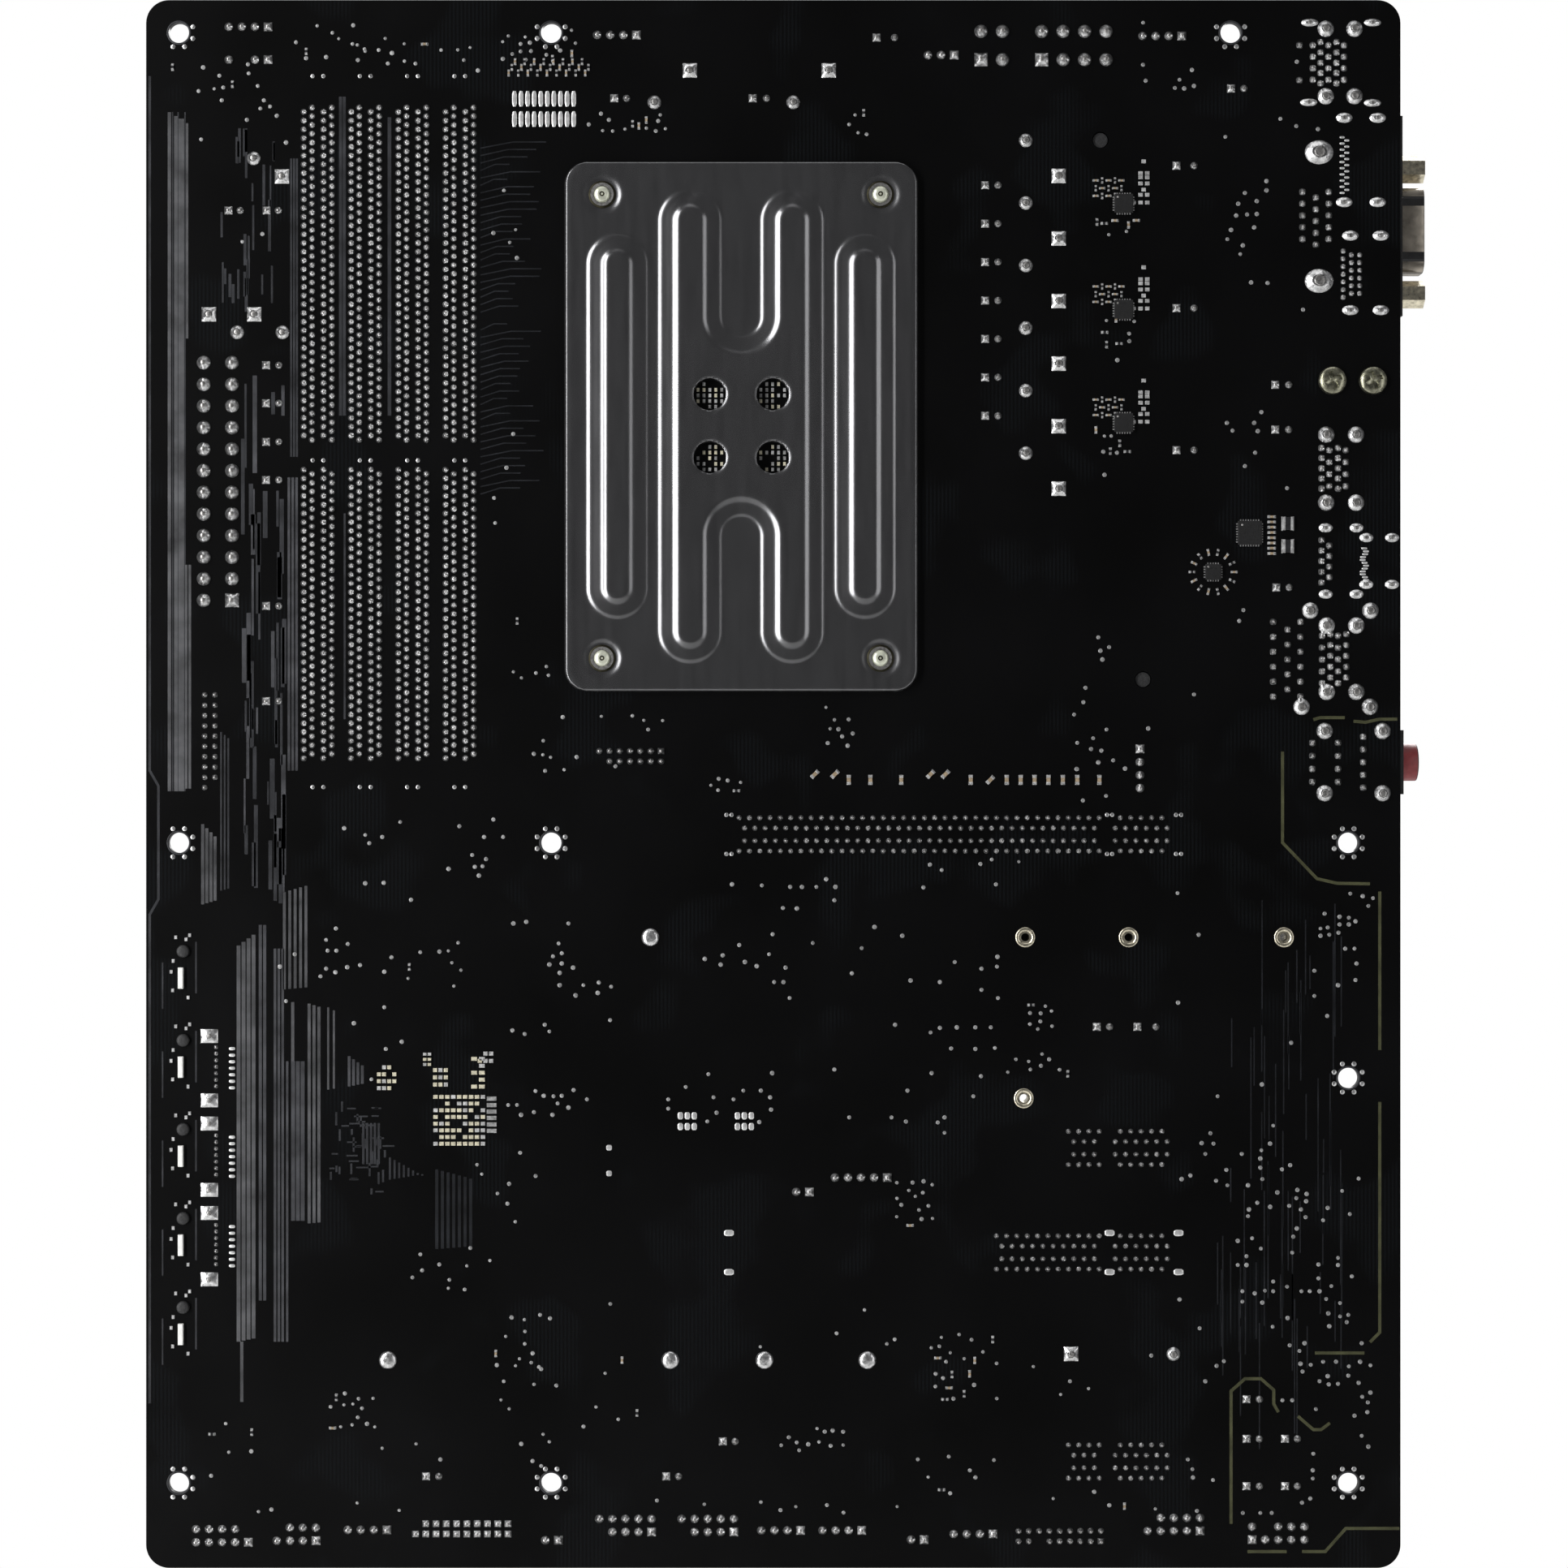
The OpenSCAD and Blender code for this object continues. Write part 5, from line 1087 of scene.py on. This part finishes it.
def port_trim():
    """Coloured jack barrels, port tongues, the violet disc at the bottom of the round port's bore with black
    discs of painted shade for its pin holes, and the shell of the video port."""
    b = Batch()
    face, jack = BOARD_W + 0.2, BOARD_W + 0.9     # where the port blocks and the jack block end
    for k, y in enumerate((6.6, 17.2, 27.8)):
        b.tube(lift(y), 156.65, [(3.64, jack), (3.64, jack + 3.3), (3.5, jack + 3.54), (1.82, jack + 3.54),
                                 (1.78, jack + 2)], slot=k)
    black, blue, violet, nickel, gold = 3, 2, 4, 5, 6
    for y, z, slot in ((6.4, 292.7, black), (14.2, 292.7, black), (4.2, 213.7, blue), (12, 213.7, blue),
                       (12, 195.8, blue), (4.2, 176.8, blue), (12, 176.8, blue)):
        b.block(face - 7.7, z, 12.5, 11.3, lift(y + 0.15), lift(y + 2.05), slot=slot)
    round_y, round_z = lift(24.4), 292.7
    b.tube(round_y, round_z, [(4.98, face - 8.9), (4.9, face - 8.85), (0.01, face - 8.85)], slot=violet)
    # painted shade: six black discs on the violet insert stand in for its pin holes
    for k in range(6):
        a = math.pi / 6 + math.pi / 3 * k
        b.tube(round_y + 2.3 * math.cos(a), round_z + 2.3 * math.sin(a),
               [(0.4, face - 8.84), (0.38, face - 8.7), (0.01, face - 8.7)], slot=black, sides=10)
    # the video port: a flared shell with rounded ends, then its contacts
    y, z, sides = lift(17.6), 262.7, 48
    outline = []
    for k in range(sides):
        a = 2 * math.pi * k / sides
        outline.append((max(-1.8, min(1.8, 9 * math.cos(a))) + 2.5 * math.cos(a),
                        max(-6, min(6, 30 * math.sin(a))) + 2.5 * math.sin(a)))
    verts, steps = [], ((1.0, 0.7), (1.0, 1.6), (0.03, 1.75), (0.03, 7.3), (-0.1, 7.43), (-0.6, 7.43))
    for grow, out in steps:
        verts += [(BOARD_W + out, y + p * (1 + grow / 4.3), z + q * (1 + grow / 8.5)) for p, q in outline]
    b.add(verts, ring_faces(len(steps), sides), nickel, True)
    for i, j in grid(0, 0, 3, 5, 1):
        b.tube(y + 2 * (i - 1), z + 2.3 * (j - 2) + 0.6 * (i % 2),
               [(0.45, BOARD_W + 7.41), (0.4, BOARD_W + 7.42), (0.01, BOARD_W + 7.42)], slot=gold, sides=10)
    b.make("port_trim", [PINK, LIME, BLUE, BLACK, VIOLET, NICKEL, GOLD], slot="plated_shell")


# ---------------------------------------------------------------- room, lamps and camera


def area_lamp(name, place, aim, size, power):
    lamp = bpy.data.lights.new(name, "AREA")
    lamp.shape = "RECTANGLE"
    lamp.size, lamp.size_y = size
    lamp.energy = power
    o = link(bpy.data.objects.new(name, lamp))
    o.location = place
    o.rotation_mode = "QUATERNION"
    o.rotation_quaternion = (Vector(aim) - Vector(place)).to_track_quat("-Z", "Y")


def studio():
    """A white room to the camera; the light it gives grows from the solder side to the component side."""
    world = bpy.data.worlds.new("studio")
    bpy.context.scene.world = world
    world.use_nodes = True
    nodes, links = world.node_tree.nodes, world.node_tree.links
    nodes.clear()
    out = add_node(nodes, "OutputWorld")
    seen = add_node(nodes, "Background", Color=(1, 1, 1, 1))
    lit = add_node(nodes, "Background")
    path = add_node(nodes, "LightPath")
    mix = add_node(nodes, "MixShader")
    coord = add_node(nodes, "TexCoord")
    split = add_node(nodes, "SeparateXYZ")
    ramp = add_node(nodes, "ValToRGB")
    dark, bright = ramp.color_ramp.elements
    dark.position, dark.color = 0.42, (0.1, 0.1, 0.102, 1)
    bright.position, bright.color = 0.8, (0.5, 0.5, 0.5, 1)
    half = add_node(nodes, "MapRange", From_Min=-1, From_Max=1)
    links.new(coord.outputs["Generated"], split.inputs["Vector"])
    links.new(split.outputs["Y"], half.inputs["Value"])
    links.new(half.outputs["Result"], ramp.inputs["Fac"])
    links.new(ramp.outputs["Color"], lit.inputs["Color"])
    links.new(path.outputs["Is Camera Ray"], mix.inputs["Fac"])
    links.new(lit.outputs["Background"], mix.inputs[1])
    links.new(seen.outputs["Background"], mix.inputs[2])
    links.new(mix.outputs["Shader"], out.inputs["Surface"])
    area_lamp("key_left", (-0.62, -0.6, 0.16), (0, 0, 0.08), (0.16, 1.2), 9)
    area_lamp("fill_right", (0.72, -0.62, 0.1), (0, 0, 0.06), (0.14, 1.0), 1.5)
    area_lamp("top", (0, -0.3, 1.2), (0, 0, 0), (1.0, 0.5), 2)
    area_lamp("parts_side", (0.4, 0.9, 0.6), (0, 0, 0.07), (0.8, 0.8), 12)


def floor():
    mesh = bpy.data.meshes.new("floor")
    half, z = 0.7, -0.30
    corners = [(-half, -half, z), (half, -half, z), (half, half, z), (-half, half, z)]
    mesh.from_pydata(corners, [], [(0, 1, 2, 3)])
    mesh.materials.append(surface("pale_floor", (0.82, 0.82, 0.81), rough=0.7, grain=20, shade=0.02,
                                  bump=0.02))
    o = link(bpy.data.objects.new("floor", mesh))


def camera():
    """Square on to the solder side, at the distance where the board just fills the picture's height."""
    bpy.context.scene.view_settings.view_transform = "Standard"
    lens, sensor, middle_bx = 80.0, 36.0, 124.0
    data = bpy.data.cameras.new("camera")
    data.lens, data.sensor_width = lens, sensor
    cam = link(bpy.data.objects.new("camera", data))
    distance = BOARD_H * MM * lens / sensor
    cam.location = ((middle_bx - DATUM_X) * MM, -distance, (BOARD_H / 2 - DATUM_Z) * MM)
    cam.rotation_euler = (math.pi / 2, 0, 0)
    bpy.context.scene.camera = cam


# ---------------------------------------------------------------- the scene

for build in (camera, studio, floor, header_joints, power_joints, regulator_joints, memory_joints,
              slot_joints, port_joints, plated_holes, small_parts, controller_chips, lamp_strip, tracks,
              isolation_line, backplate, post_ends, screw_heads, contacts, socket_field, chip_leads, cans,
              front_passives, port_trim):
    build()

FINISHES = {     # material and rounding of the CAD nodes that show; the others are black with 0.2 mm
    "pcb": (MASK, 0), "backplate_insulator": (FILM, 0), "backplate_posts": (PIN_TIP, 0),
    "cpu_socket": (IVORY, 0.2), "socket_cover": (IVORY, 0.2), "socket_lever": (STEEL, 0),
    "cooler_bracket_upper": (BLACK, 0.4), "cooler_bracket_lower": (BLACK, 0.4),
    "cooler_screws": (GOLD_PALE, 0.12), "m2_standoffs": (GOLD_PLATE, 0), "m2_heatsink_upper": (SINK, 0.2),
    "m2_heatsink_lower": (SINK, 0.2), "m2_heatsink_screws": (STEEL, 0.1), "power_pins": (GOLD, 0),
    "vrm_heatsink": (SINK, 0.25), "vrm_heatsink_screws": (CHIP, 0.1), "chokes": (FERRITE, 0.4),
    "mosfets": (CHIP, 0.08), "chipset": (CHIP, 0.05), "chipset_heatsink": (SINK, 0.3),
    "cmos_battery": (STEEL, 0.3), "io_ps2_usb": (SHELL, 0.2), "module_bracket": (SHELL, 0.1),
    "io_usb": (SHELL, 0.2), "io_usb_c": (SHELL, 0.2), "io_lan_usb": (SHELL, 0.2),
    "vga_jackscrews": (GOLD_PLATE, 0.1), "header_pins": (GOLD, 0.05), "front_chips": (CHIP, 0.08),
    "dimm_slot_2": (GREY, 0.2), "dimm_slot_4": (GREY, 0.2),
}
for node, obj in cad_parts.items():
    if not obj.hide_render:
        finish, rounding = FINISHES.get(node, (BLACK, 0.2))
        dress(node, finish, rounding)
